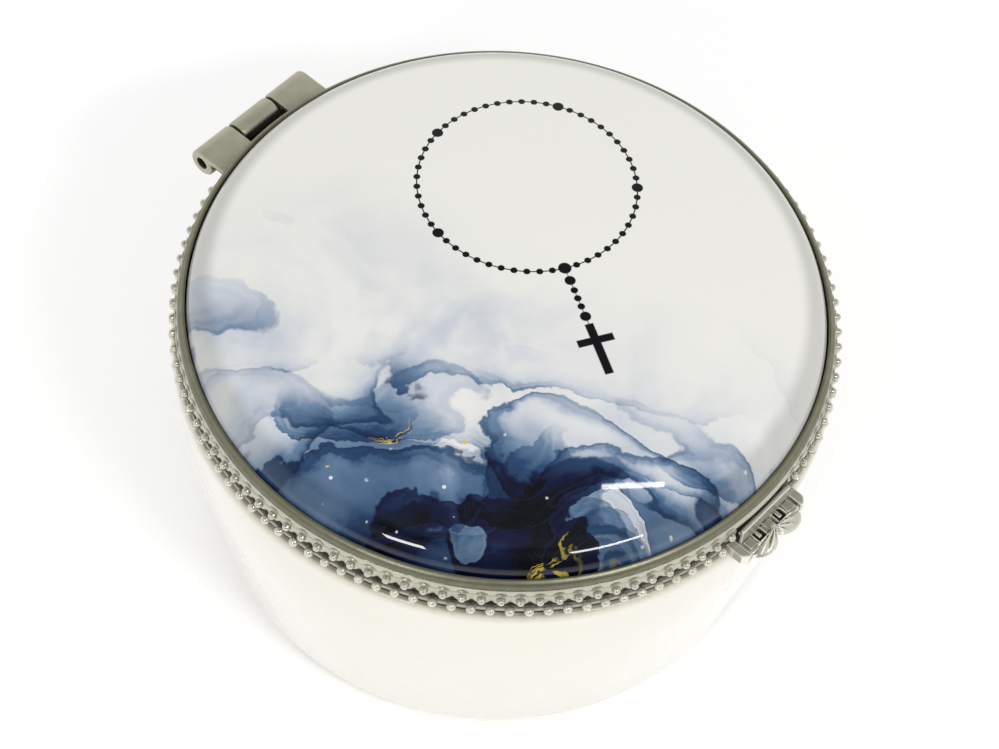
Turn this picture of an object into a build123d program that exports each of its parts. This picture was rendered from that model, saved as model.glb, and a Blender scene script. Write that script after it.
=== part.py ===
from build123d import *
from math import asin, atan2, cos, degrees, floor, pi, radians, sin, sqrt, tan
import os

# Round porcelain rosary box with a hinged, printed dome lid. All sizes are in millimetres.
# The origin is the middle of the foot, on the table. +Z is up, the hinge is at the back (+Y)
# and the clasp at the front (-Y). Turned profiles are drawn as (radius, height) on the XZ plane.

# ---- Heights ----
parting_height = 35.05  # where the lid meets the cup
seam_gap = 0.1  # between the two collars when the lid is shut
cut_margin = 2.0  # how far a cutting shape reaches past the metal that it cuts

# ---- Metal collars, one cemented on each porcelain rim ----
collar_radius = 35.1  # outside of both collars, which most round pieces are set from
collar_wall = 0.55
collar_plate = 0.6  # flat ring of each collar, at the parting
cement_thickness = 0.3  # bed between a collar and its porcelain
neck_clearance = 0.3
cup_collar_depth = 1.9
lid_collar_depth = 2.15
ridge_inset = 0.15  # the sloping skirt's top edge, inside the collar's face
skirt_overhang = 0.12  # its lower edge, outside the collar's face

# ---- Bead rows ----
bead_diameter = 1.05
bead_pitch = 1.95
bead_sides = 6
bead_stand_out = 0.4  # bead centres outside the collar
bead_chamfer = 0.28
rail_height = 0.4  # strip that carries the beads
rail_thickness = 0.35
lid_bead_rise = 0.9  # above the lid collar's lower face
cup_bead_drop = 0.88  # below the cup collar's upper face
bead_to_catch = 0.47  # first cup bead beside the catch plate
hinge_bead_gap = 10.75  # arc from the back to the last bead

# ---- Porcelain cup ----
belly_overhang = 0.8  # the widest place, just under the collar, outside the collar's face
shoulder_rise = 1.45
shoulder_radius = 2.5
flank_bulge = 60.0  # radius of the curve under the belly
flank_taper = 10.1  # degrees that the lower wall leans in
heel_radius = 4.0
cup_wall = 3.4
rim_land = 2.6  # width of the rim that the collar sits on
floor_thickness = 3.6
floor_corner = 6.0
foot_ring_width = 3.0
foot_recess = 0.8

# ---- Printed lid dome ----
dome_side = 1.15  # upright edge below the shoulder
dome_shoulder = 3.5
dome_rise = 4.75  # from the top of the upright edge to the crown
dome_land = 4.5  # flat rim on the underside
dome_hollow = 2.1
hollow_slope = 1.5  # how far the hollow's side leans in

# ---- Bezel round the dome ----
bezel_thickness = 0.4
bezel_gap = 0.1
bezel_lip = 0.22  # width of the lip beside the dome
bezel_height = 1.0  # above the lid collar
bezel_foot = 0.2  # upright edge at the bottom of the visible band
bezel_bulge = 0.12

# ---- Hinge ----
hinge_offset = 2.8  # pin axis behind the collar
knuckle_radius = 1.6
leaf_thickness = 0.8
hinge_length = 16.6
middle_length = 6.0
knuckle_gap = 0.3
pin_radius = 0.65
running_clearance = 0.05
pin_recess = 0.8

# ---- Lid clasp ----
clasp_half = 3.85  # half the width of the flat band
clasp_depth = 2.2  # front of the band, in front of the collar
clasp_stand_off = 0.25  # clear of the cup collar
strip_thickness = 0.35  # upright strip behind the band
strip_rise = 0.9  # above the parting
clasp_foot = 0.3  # height of the foot that is soldered to the lid collar
clasp_drop = 1.3  # the band's upper face below the parting
band_thickness = 0.65
slot_place = 1.65  # U-shaped slots, each side of the middle
slot_width = 1.3
slot_length = 1.1
slot_depth = 0.4
tongue_width = 0.44
tongue_length = 0.72
pad_side = 1.1  # raised squares between the slots
pad_place = 3.1
pad_rise = 0.12
rib_places = (0.65, 1.6, 2.5, 3.3)  # shell ribs' tips, sideways from the middle
rib_spread = 3.7
rib_reach = 1.15
rib_root_radius = 0.28
rib_tip_radius = 0.5
rib_nose = 0.35  # blunt end past the tip
rib_nose_radius = 0.25
rib_drop = 0.6
boss_radius = 0.5

# ---- Catch plate on the cup ----
catch_half = 5.1
catch_depth = 2.25  # in front of the collar
catch_drop = 1.05  # its top below the parting
catch_height = 1.4
catch_corner = 0.6
catch_clearance = 0.2  # beside the clasp, and off the porcelain
shelf_thickness = 0.35  # bar under the clasp, between the two ends
relief_depth = 0.25  # hollow in the lid collar behind the clasp
relief_lip = 0.2

# ---- Worked out from the sizes above ----
cup_collar_top = parting_height - seam_gap / 2
cup_collar_bottom = cup_collar_top - cup_collar_depth
cup_rim = cup_collar_top - collar_plate - cement_thickness
lid_collar_bottom = parting_height + seam_gap / 2
lid_collar_top = lid_collar_bottom + lid_collar_depth
dome_seat = lid_collar_bottom + collar_plate + cement_thickness
band_inner = collar_radius - collar_wall
ridge_radius = collar_radius - ridge_inset
cut_outside = collar_radius + cut_margin
cut_inside = band_inner - cut_margin
belly_radius = collar_radius + belly_overhang
bezel_inner = band_inner - bezel_thickness
dome_radius = bezel_inner - bezel_gap
hinge_reach = collar_radius + hinge_offset
clasp_reach = collar_radius + clasp_depth
catch_reach = collar_radius + catch_depth
neck_radius = band_inner - neck_clearance
mouth_radius = neck_radius - rim_land
ledge_height = cup_collar_bottom - cement_thickness / 2
belly_height = ledge_height - shoulder_rise
bead_radius = bead_diameter / 2
bead_ring_radius = collar_radius + bead_stand_out
lid_bead_height = lid_collar_bottom + lid_bead_rise
cup_bead_height = cup_collar_top - cup_bead_drop
skirt_bottom = lid_bead_height + bead_radius
clasp_back = collar_radius + clasp_stand_off
clasp_top = parting_height - clasp_drop
clasp_bottom = clasp_top - band_thickness
catch_top = parting_height - catch_drop
catch_bottom = catch_top - catch_height
catch_pocket = clasp_half + catch_clearance
shelf_top = catch_bottom + shelf_thickness
cup_bead_start = bead_ring_radius * asin(
    (catch_half + bead_to_catch + bead_radius) / bead_ring_radius
)
lid_bead_start = cup_bead_start - bead_pitch / 2


def ring(inner, outer):
    """Flat ring on the open sketch."""
    Circle(outer)
    Circle(inner, mode=Mode.SUBTRACT)


def upright_box(half_width, front, back):
    """Rectangle on the open sketch, from one distance in front of the middle to another."""
    with Locations((0, -(front + back) / 2)):
        Rectangle(2 * half_width, abs(front - back))


def knuckle_outline(leaf_side, bore_radius):
    """Barrel on the open YZ sketch, with a leaf on its top (1) or bottom (-1) to the collar."""
    leaf_height = parting_height + leaf_side * (knuckle_radius - leaf_thickness / 2)
    with Locations((hinge_reach, parting_height)):
        Circle(knuckle_radius)
    with Locations(((hinge_reach + band_inner) / 2, leaf_height)):
        Rectangle(hinge_reach - band_inner, leaf_thickness)
    with Locations((hinge_reach, parting_height)):
        Circle(bore_radius, mode=Mode.SUBTRACT)


def on_circle(radius, angle):
    """Point at an angle in radians from +X."""
    return (radius * cos(angle), radius * sin(angle))


def bead_row(first_arc, height):
    """Two strips of beads, each from beside the clasp to the gap at the hinge."""
    room = pi * bead_ring_radius - first_arc - hinge_bead_gap
    count = floor(room / bead_pitch) + 1
    step = bead_pitch / bead_ring_radius
    end = bead_radius / bead_ring_radius
    first = first_arc / bead_ring_radius - pi / 2
    last = first + (count - 1) * step
    bends = [first + (place + 0.5) * step for place in range(count - 1)]
    outer_points = [
        on_circle(collar_radius + rail_thickness, angle)
        for angle in (first - end, *bends, last + end)
    ]
    with BuildPart() as row:
        with BuildSketch(Plane.XY.offset(height - rail_height / 2)):
            with BuildLine():
                Polyline(*outer_points)
                Line(outer_points[0], on_circle(collar_radius, first - end))
                CenterArc(
                    (0, 0), collar_radius, degrees(first - end), degrees(last - first + 2 * end)
                )
                Line(outer_points[-1], on_circle(collar_radius, last + end))
            make_face()
        extrude(amount=rail_height)
        with Locations((0, 0, height)):
            with PolarLocations(
                bead_ring_radius, count, degrees(first), degrees(last - first), endpoint=True
            ):
                add(bead.part)
        mirror(about=Plane.YZ)
    return row


# ---- Cup side ----

lean = radians(flank_taper)
flank_top = (belly_radius - flank_bulge * (1 - cos(lean)), belly_height - flank_bulge * sin(lean))
foot_corner = (flank_top[0] - flank_top[1] * tan(lean), 0)
foot_inner = foot_corner[0] - heel_radius - foot_ring_width
shoulder_turn = degrees(asin(shoulder_rise / shoulder_radius))
floor_edge = (
    foot_corner[0] + floor_thickness * tan(lean) - cup_wall / cos(lean),
    floor_thickness,
)
cavity_bend = (mouth_radius, floor_thickness + (mouth_radius - floor_edge[0]) / tan(lean))

with BuildPart() as cup:
    with BuildSketch(Plane.XZ) as cup_wall_profile:
        with BuildLine():
            Polyline((0, foot_recess), (foot_inner, foot_recess), (foot_inner, 0), foot_corner)
            Line(foot_corner, flank_top)
            CenterArc(
                (belly_radius - flank_bulge, belly_height), flank_bulge, -flank_taper, flank_taper
            )
            shoulder = CenterArc(
                (belly_radius - shoulder_radius, belly_height), shoulder_radius, 0, shoulder_turn
            )
            Polyline(shoulder @ 1, (neck_radius, ledge_height), (neck_radius, cup_rim))
            Polyline((neck_radius, cup_rim), (mouth_radius, cup_rim), cavity_bend, floor_edge)
            Polyline(floor_edge, (0, floor_thickness), (0, foot_recess))
        make_face()
        corners = cup_wall_profile.vertices()
        fillet(corners.sort_by_distance(foot_corner)[0], heel_radius)
        fillet(corners.sort_by_distance(floor_edge)[0], floor_corner)
        fillet(corners.sort_by_distance((foot_inner, foot_recess))[0], foot_recess / 2)
    revolve(axis=Axis.Z)

with BuildPart() as cup_cement:
    with BuildSketch(Plane.XY.offset(cup_rim)):
        ring(mouth_radius, neck_radius)
    extrude(amount=cement_thickness)

with BuildPart() as cup_collar:
    with BuildSketch(Plane.XZ):
        with BuildLine():
            Polyline(
                (mouth_radius, cup_collar_top),
                (collar_radius, cup_collar_top),
                (collar_radius, cup_collar_bottom),
                (band_inner, cup_collar_bottom),
                (band_inner, cup_collar_top - collar_plate),
                (mouth_radius, cup_collar_top - collar_plate),
                close=True,
            )
        make_face()
    revolve(axis=Axis.Z)

# One faceted bead, pointing outwards along X, that both rows repeat.
with BuildPart() as bead:
    with BuildSketch(Plane.YZ.offset(-bead_stand_out)):
        RegularPolygon(bead_radius, bead_sides)
    extrude(amount=bead_stand_out + bead_radius)
    chamfer(bead.edges().group_by(Axis.X)[-1], bead_chamfer)

cup_bead_row = bead_row(cup_bead_start, cup_bead_height)

with BuildPart() as catch_plate:
    with BuildSketch(Plane.XY.offset(catch_bottom)):
        upright_box(catch_half, catch_reach, band_inner)
    extrude(amount=catch_height)
    outer_corners = catch_plate.edges().filter_by(Axis.Z).group_by(Axis.Y)[0]
    chamfer(outer_corners, catch_corner)
    # The clasp drops between the two ends and stops above a thin bar.
    with BuildSketch(Plane.XY.offset(shelf_top)):
        upright_box(catch_pocket, catch_reach + cut_margin, cut_inside)
    extrude(amount=catch_height, mode=Mode.SUBTRACT)
    with BuildSketch(Plane.XY.offset(catch_bottom)):
        Circle(collar_radius)
    extrude(amount=catch_height, mode=Mode.SUBTRACT)
    with BuildSketch(Plane.XY.offset(cup_collar_bottom)):
        Circle(belly_radius + catch_clearance)
    extrude(amount=-catch_height, mode=Mode.SUBTRACT)

with BuildPart() as cup_knuckle:
    with BuildSketch(Plane.YZ):
        knuckle_outline(-1, pin_radius + running_clearance)
    extrude(amount=middle_length / 2 - knuckle_gap, both=True)
    with BuildSketch(Plane.XY):
        Circle(collar_radius)
    extrude(amount=lid_collar_top, mode=Mode.SUBTRACT)

# ---- Lid side ----

shoulder_centre = (dome_radius - dome_shoulder, dome_seat + dome_side)
crown_radius = (shoulder_centre[0] ** 2 + dome_rise**2 - dome_shoulder**2) / (
    2 * (dome_rise - dome_shoulder)
)
crown_centre = (0, shoulder_centre[1] + dome_rise - crown_radius)
crown_edge = degrees(atan2(shoulder_centre[1] - crown_centre[1], shoulder_centre[0]))
hollow_top = dome_seat + dome_hollow
hollow_radius = dome_radius - dome_land

with BuildPart() as lid_dome:
    with BuildSketch(Plane.XZ):
        with BuildLine():
            Polyline(
                (0, hollow_top),
                (hollow_radius - hollow_slope, hollow_top),
                (hollow_radius, dome_seat),
                (dome_radius, dome_seat),
                (dome_radius, shoulder_centre[1]),
            )
            CenterArc(shoulder_centre, dome_shoulder, 0, crown_edge)
            crown = CenterArc(crown_centre, crown_radius, crown_edge, 90 - crown_edge)
            Line(crown @ 1, (0, hollow_top))
        make_face()
    revolve(axis=Axis.Z)

with BuildPart() as lid_cement:
    with BuildSketch(Plane.XY.offset(lid_collar_bottom + collar_plate)):
        ring(mouth_radius, band_inner)
    extrude(amount=cement_thickness)

with BuildPart() as lid_collar:
    with BuildSketch(Plane.XZ):
        with BuildLine():
            Polyline(
                (mouth_radius, lid_collar_bottom),
                (collar_radius, lid_collar_bottom),
                (collar_radius, skirt_bottom),
                (collar_radius + skirt_overhang, skirt_bottom),
                (ridge_radius, lid_collar_top),
                (band_inner, lid_collar_top),
                (band_inner, lid_collar_bottom + collar_plate),
                (mouth_radius, lid_collar_bottom + collar_plate),
                close=True,
            )
        make_face()
    revolve(axis=Axis.Z)
    # The skirt stops at the clasp and at the hinge.
    with BuildSketch(Plane.XY.offset(skirt_bottom)):
        upright_box(clasp_half + bead_radius, cut_outside, cut_inside)
        upright_box(hinge_length / 2 + knuckle_gap, -cut_outside, -cut_inside)
        Circle(collar_radius, mode=Mode.SUBTRACT)
    extrude(amount=lid_collar_depth, mode=Mode.SUBTRACT)
    # A shallow hollow behind the clasp, under the ridge.
    with BuildSketch(Plane.XY.offset(parting_height + strip_rise)):
        upright_box(clasp_half + bead_radius, cut_outside, cut_inside)
        Circle(collar_radius - relief_depth, mode=Mode.SUBTRACT)
    extrude(
        amount=lid_collar_top - relief_lip - parting_height - strip_rise, mode=Mode.SUBTRACT
    )

bezel_top = lid_collar_top + bezel_height

with BuildPart() as lid_bezel:
    with BuildSketch(Plane.XZ):
        with BuildLine():
            Polyline(
                (bezel_inner + bezel_lip, bezel_top),
                (bezel_inner, bezel_top),
                (bezel_inner, dome_seat),
                (band_inner, dome_seat),
                (band_inner, lid_collar_top),
                (ridge_radius, lid_collar_top),
                (ridge_radius, lid_collar_top + bezel_foot),
            )
            SagittaArc(
                (ridge_radius, lid_collar_top + bezel_foot),
                (bezel_inner + bezel_lip, bezel_top),
                -bezel_bulge,
            )
        make_face()
    revolve(axis=Axis.Z)

lid_bead_row = bead_row(lid_bead_start, lid_bead_height)

outer_length = (hinge_length - middle_length) / 2

with BuildPart() as lid_knuckle_left:
    with BuildSketch(Plane.YZ.offset(-hinge_length / 2)):
        knuckle_outline(1, pin_radius)
    extrude(amount=outer_length)
    with BuildSketch(Plane.XY):
        Circle(collar_radius)
    extrude(amount=lid_collar_top, mode=Mode.SUBTRACT)

with BuildPart() as lid_knuckle_right:
    with BuildSketch(Plane.YZ.offset(middle_length / 2)):
        knuckle_outline(1, pin_radius)
    extrude(amount=outer_length)
    with BuildSketch(Plane.XY):
        Circle(collar_radius)
    extrude(amount=lid_collar_top, mode=Mode.SUBTRACT)

with BuildPart() as hinge_pin:
    with BuildSketch(Plane.YZ):
        with Locations((hinge_reach, parting_height)):
            Circle(pin_radius)
    extrude(amount=hinge_length / 2 - pin_recess, both=True)

rib_root = Vector(0, -(clasp_reach - rib_root_radius), clasp_top)
strip_front = clasp_back + strip_thickness
on_its_base = (Align.CENTER, Align.CENTER, Align.MIN)

with BuildPart() as lid_clasp:
    with BuildSketch(Plane.XY.offset(clasp_bottom)):
        upright_box(clasp_half, clasp_reach, clasp_back)
    extrude(amount=band_thickness)
    with BuildSketch(Plane.XY.offset(clasp_top)):
        upright_box(clasp_half, strip_front, clasp_back)
    extrude(amount=parting_height + strip_rise - clasp_top)
    with BuildSketch(Plane.XY.offset(lid_collar_bottom)):
        upright_box(clasp_half, clasp_back, band_inner)
        Circle(collar_radius, mode=Mode.SUBTRACT)
    extrude(amount=clasp_foot)
    # Two U-shaped slots with a tongue in each, and raised squares between them.
    slot_middle = (strip_front + clasp_reach) / 2
    with BuildSketch(Plane.XY.offset(clasp_top)):
        with Locations((-slot_place, -slot_middle), (slot_place, -slot_middle)):
            Rectangle(slot_width, slot_length)
        tongue_middle = slot_middle - (slot_length - tongue_length) / 2
        with Locations((-slot_place, -tongue_middle), (slot_place, -tongue_middle)):
            Rectangle(tongue_width, tongue_length, mode=Mode.SUBTRACT)
    extrude(amount=-slot_depth, mode=Mode.SUBTRACT)
    with BuildSketch(Plane.XY.offset(clasp_top)):
        with Locations(*[(place, -slot_middle) for place in (-pad_place, 0, pad_place)]):
            Rectangle(pad_side, pad_side)
    extrude(amount=pad_rise)
    # The shell tab: ribs that fan out from a boss, four on each side.
    for side in (-1, 1):
        for place in rib_places:
            reach = rib_reach * sqrt(1 - (place / rib_spread) ** 2)
            tip = Vector(side * place, -(clasp_reach + reach), rib_root.Z - rib_drop)
            with Locations(Plane(origin=rib_root, z_dir=tip - rib_root)):
                Cone(rib_root_radius, rib_tip_radius, (tip - rib_root).length, align=on_its_base)
            with Locations(Plane(origin=tip, z_dir=tip - rib_root)):
                Cone(rib_tip_radius, rib_nose_radius, rib_nose, align=on_its_base)
    with Locations(rib_root):
        Sphere(boss_radius)

pieces = {
    "cup": cup,
    "cup_cement": cup_cement,
    "cup_collar": cup_collar,
    "cup_bead_row": cup_bead_row,
    "catch_plate": catch_plate,
    "cup_knuckle": cup_knuckle,
    "lid_dome": lid_dome,
    "lid_cement": lid_cement,
    "lid_collar": lid_collar,
    "lid_bezel": lid_bezel,
    "lid_bead_row": lid_bead_row,
    "lid_knuckle_left": lid_knuckle_left,
    "lid_knuckle_right": lid_knuckle_right,
    "hinge_pin": hinge_pin,
    "lid_clasp": lid_clasp,
}
os.makedirs("parts", exist_ok=True)
for name, piece in pieces.items():
    piece.part.label = name
    export_step(piece.part, f"parts/{name}.step")
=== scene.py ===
"""Finish, beads, hinge, clasp, light and camera of a round porcelain rosary box."""

from math import asin, atan2, cos, floor, pi, radians, sin, sqrt, tan

import bmesh
import bpy
from bpy.props import FloatProperty, FloatVectorProperty, IntProperty, PointerProperty
from mathutils import Matrix, Vector


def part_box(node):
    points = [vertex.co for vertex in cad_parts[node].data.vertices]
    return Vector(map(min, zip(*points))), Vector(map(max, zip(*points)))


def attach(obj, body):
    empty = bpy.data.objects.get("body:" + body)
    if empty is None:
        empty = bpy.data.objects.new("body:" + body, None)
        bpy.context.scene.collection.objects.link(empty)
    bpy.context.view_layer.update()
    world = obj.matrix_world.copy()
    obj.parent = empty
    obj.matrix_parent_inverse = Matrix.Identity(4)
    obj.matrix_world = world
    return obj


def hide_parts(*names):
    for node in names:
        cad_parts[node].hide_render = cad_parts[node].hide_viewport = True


bl_info = {
    "name": "Rosary Box",
    "version": (1, 0, 0),
    "blender": (4, 5, 0),
    "location": "View3D > Sidebar > Rosary Box",
    "description": "Porcelain, print and beaded metal for a round hinged box",
    "category": "Object",
}

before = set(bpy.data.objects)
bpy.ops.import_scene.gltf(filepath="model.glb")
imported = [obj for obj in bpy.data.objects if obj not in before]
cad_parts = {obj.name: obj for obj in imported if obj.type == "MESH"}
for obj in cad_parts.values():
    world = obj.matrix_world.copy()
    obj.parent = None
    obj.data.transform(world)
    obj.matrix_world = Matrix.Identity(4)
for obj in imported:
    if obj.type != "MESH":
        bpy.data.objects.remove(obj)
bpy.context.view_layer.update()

# ---- Places read from the frame, in metres ----

MM = 0.001
SEGMENTS = 288  # round a full turn
TOUCHING = 1e-7  # points nearer than this are one

COLLAR_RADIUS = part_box("cup_collar")[1].x
CUP_COLLAR_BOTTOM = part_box("cup_collar")[0].z
CUP_COLLAR_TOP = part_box("cup_collar")[1].z
LID_COLLAR_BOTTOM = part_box("lid_collar")[0].z
LID_COLLAR_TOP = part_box("lid_collar")[1].z
PARTING = (CUP_COLLAR_TOP + LID_COLLAR_BOTTOM) / 2
BELLY_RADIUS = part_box("cup")[1].x
CUP_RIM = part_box("cup")[1].z
NECK_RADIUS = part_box("cup_cement")[1].x
DOME_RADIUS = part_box("lid_dome")[1].x
DOME_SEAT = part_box("lid_dome")[0].z
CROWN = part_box("lid_dome")[1].z
RIDGE_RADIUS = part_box("lid_bezel")[1].x
BEZEL_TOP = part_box("lid_bezel")[1].z
CUP_BEAD_HEIGHT = (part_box("cup_bead_row")[0].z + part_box("cup_bead_row")[1].z) / 2
LID_BEAD_HEIGHT = (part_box("lid_bead_row")[0].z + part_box("lid_bead_row")[1].z) / 2
BEAD_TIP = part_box("cup_bead_row")[1].x
CATCH_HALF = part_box("catch_plate")[1].x
CATCH_FRONT = -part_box("catch_plate")[0].y
CATCH_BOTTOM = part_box("catch_plate")[0].z
CATCH_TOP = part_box("catch_plate")[1].z
CLASP_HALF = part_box("lid_clasp")[1].x
HINGE_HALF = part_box("lid_knuckle_right")[1].x
HINGE_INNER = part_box("lid_knuckle_right")[0].x
MIDDLE_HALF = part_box("cup_knuckle")[1].x
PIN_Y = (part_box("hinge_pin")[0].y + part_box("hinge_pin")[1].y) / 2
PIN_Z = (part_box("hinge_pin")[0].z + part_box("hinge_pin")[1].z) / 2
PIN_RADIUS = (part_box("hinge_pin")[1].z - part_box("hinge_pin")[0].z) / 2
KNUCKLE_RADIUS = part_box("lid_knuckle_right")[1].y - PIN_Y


def linear(red, green, blue):
    """Colour for a shader from the 0 to 255 numbers of a screen."""
    return tuple(
        (part / 255 / 12.92) if part < 11 else ((part / 255 + 0.055) / 1.055) ** 2.4
        for part in (red, green, blue)
    )


def length(name, description, millimetres):
    """Size property, given in millimetres."""
    return FloatProperty(
        name=name, description=description, default=millimetres * MM, unit="LENGTH", precision=5
    )


def turn(name, description, angle):
    """Angle property, given in degrees."""
    return FloatProperty(
        name=name, description=description, default=radians(angle), subtype="ANGLE"
    )


def colour(name, description, default):
    """Colour property."""
    return FloatVectorProperty(
        name=name, description=description, default=default, subtype="COLOR", min=0, max=1
    )


# ---- Settings ----


class PorcelainSettings(bpy.types.PropertyGroup):
    """Shape and glaze of the cup and the dome."""

    glaze: colour("Glaze", "Ivory white of the glaze", linear(238, 235, 224))
    pooled: colour("Pooled glaze", "Warmer where the glaze is thick", linear(235, 230, 215))
    # Painted shade: the brown laid on the glaze just below the metal.
    under_metal_shade: colour("Bloom", "Brown bloom beside the metal", linear(132, 128, 94))
    bare: colour("Cement", "Cement that beds the collars", linear(206, 200, 186))
    shoulder_radius: length("Shoulder", "Round edge under the metal", 2.5)
    shoulder_rise: length("Shoulder rise", "From the widest place to the ledge", 1.45)
    flank_bulge: length("Flank bulge", "Radius of the curve under the widest place", 60)
    flank_taper: turn("Flank taper", "How far the lower wall leans in", 10.1)
    heel_radius: length("Heel", "Round edge at the foot", 4)
    foot_ring: length("Foot ring", "Width of the ring that stands on the table", 3)
    foot_recess: length("Foot recess", "Depth of the hollow under the foot", 0.8)
    wall: length("Wall", "Thickness of the cup's wall", 3.4)
    rim_land: length("Rim", "Width of the cup's rim", 2.6)
    floor_thickness: length("Floor", "Thickness of the cup's floor", 3.6)
    floor_corner: length("Floor corner", "Inside radius at the floor", 6)
    ledge_gap: length("Ledge gap", "Porcelain below the collar's edge", 0.15)
    dome_side: length("Dome side", "Upright edge of the dome", 1.15)
    dome_shoulder: length("Dome shoulder", "Radius of the dome's edge", 3.5)
    dome_land: length("Dome land", "Flat rim under the dome", 4.5)
    dome_hollow: length("Dome hollow", "Depth of the hollow under the dome", 2.1)
    hollow_slope: length("Hollow slope", "How far the hollow's side leans in", 1.5)


class PrintSettings(bpy.types.PropertyGroup):
    """Colours of the marbled print on the dome."""

    paper: colour("Ground", "Pale ground of the print", linear(235, 234, 228))
    mist: colour("Mist", "Pale grey veils", linear(196, 202, 212))
    slate: colour("Slate", "Grey blue washes", linear(104, 130, 160))
    blue: colour("Blue", "Deep blue washes", linear(38, 70, 108))
    navy: colour("Navy", "Dark blue", linear(8, 18, 58))
    ink: colour("Ink", "Darkest pools and the drawn ornament", linear(2, 4, 14))
    ink_line: colour("Ink line", "Fine dark edges", linear(12, 28, 62))
    gold: colour("Gold", "Thin gold flecks", linear(216, 190, 66))
    # Painted shade: the grey that darkens the print's curved edge.
    edge: colour("Edge", "Grey of the print's curved edge", linear(158, 160, 154))
    heading: turn("Heading", "Side of the lid that the blue washes lie on", -143.2)


class MountSettings(bpy.types.PropertyGroup):
    """Sizes and colours of the metal round the porcelain."""

    bright: colour("Bright metal", "Polished nickel silver", linear(214, 211, 196))
    dull: colour("Dull metal", "Worn nickel silver", linear(160, 159, 134))
    # Painted highlight: the near white laid on the edges of the clasp and the catch.
    edge_highlight: colour("Burnished metal", "Edges rubbed bright", linear(246, 245, 236))
    # Dark oxide in the pits, and the colour of the painted shade in crevices and gaps.
    tarnish_and_shade: colour("Tarnish", "Dark film in the crevices", linear(46, 47, 34))
    # Painted shade: colour of the thin sheets laid at the bottom of the clasp's slots.
    black: colour("Blackening", "Black in the clasp's slots", linear(14, 13, 10))
    wall: length("Collar wall", "Thickness of both collars", 0.55)
    plate: length("Collar plate", "Thickness of the flat rings", 0.6)
    edge: length("Edge", "Rounding of the metal's edges", 0.07)
    skirt_rise: length("Skirt rise", "Height of the sloping skirt", 0.725)
    skirt_overhang: length("Skirt overhang", "How far the skirt stands out", 0.12)
    recess: length("Clasp hollow", "Hollow in the lid collar behind the clasp", 0.25)
    bead_radius: length("Bead radius", "Radius of the beads", 0.525)
    bead_pitch: length("Bead pitch", "From bead to bead, along the ring", 1.95)
    bead_to_catch: length("Bead gap", "From the catch plate to the first bead", 0.47)
    hinge_bead_gap: length("Hinge gap", "Arc from the back to the last bead", 10.75)
    lobe_radius: length("Lobe radius", "Round lobe of the skirt round each upper bead", 0.94)
    groove_radius: length("Groove radius", "Groove round each upper bead", 0.52)
    strip_thickness: length("Strip", "Thickness of the beaded strips", 0.2)
    bead_sides: IntProperty(
        name="Bead sides", description="Facets round one bead", default=12, min=6, max=16
    )


class HingeSettings(bpy.types.PropertyGroup):
    """Sizes of the hinge."""

    leaf: length("Leaf", "Thickness of the leaves", 0.8)
    edge: length("Edge", "Rounding of the leaves", 0.3)


class ClaspSettings(bpy.types.PropertyGroup):
    """Sizes of the clasp and the catch plate."""

    band_reach: length("Band reach", "Front of the flat band, from the collar", 2.2)
    stand_off: length("Stand-off", "Gap between clasp and collar", 0.25)
    strip: length("Strip", "Thickness of the upright strip", 0.35)
    strip_rise: length("Strip rise", "Top of the strip above the parting", 0.9)
    foot_height: length("Foot height", "Height of the soldered foot", 0.3)
    drop: length("Drop", "Top of the band below the parting", 1.3)
    band: length("Band", "Thickness of the flat band", 0.65)
    slot_place: length("Slot place", "Slots, each side of the middle", 1.65)
    slot_width: length("Slot width", "Width of a slot", 1.2)
    slot_length: length("Slot length", "Length of a slot", 1.2)
    slot_depth: length("Slot depth", "Depth of a slot", 0.4)
    tongue_width: length("Tongue width", "Width of the tongue in a slot", 0.42)
    tongue_length: length("Tongue length", "Length of the tongue in a slot", 0.85)
    pad: length("Pad", "Side of the raised squares", 1.1)
    pad_place: length("Pad place", "Outer squares, each side of the middle", 3.1)
    pad_rise: length("Pad rise", "Height of the squares", 0.12)
    rim_width: length("Slot rim", "Width of the raised rim round a slot", 0.17)
    rim_rise: length("Rim rise", "Height of the rim", 0.1)
    lobe_middle: length("Lobe middle", "Middle of a lobe, each side of the clasp's", 1.95)
    lobe_half: length("Lobe half", "Half width of a lobe", 2.0)
    lobe_reach: length("Lobe reach", "How far a lobe stands out", 1.5)
    lobe_puff: length("Lobe puff", "Half thickness of a lobe", 0.4)
    lobe_drop: length("Lobe drop", "Fall of a lobe's edge", 0.6)
    rib_rise: length("Rib rise", "Height of the ribs on a lobe", 0.26)
    ribs: IntProperty(name="Ribs", description="Ribs on each lobe", default=4, min=2, max=8)
    voxel: length("Grain", "Fineness of the casting", 0.045)
    boss: length("Boss", "Radius of the boss", 0.5)
    corner: length("Catch corner", "Cut corners of the catch plate", 0.6)
    clearance: length("Clearance", "Gap beside the clasp", 0.2)
    shelf: length("Shelf", "Thickness of the bar under the clasp", 0.35)
    shelf_back: length("Shelf back", "Gap between the bar and the porcelain", 0.2)


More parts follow.
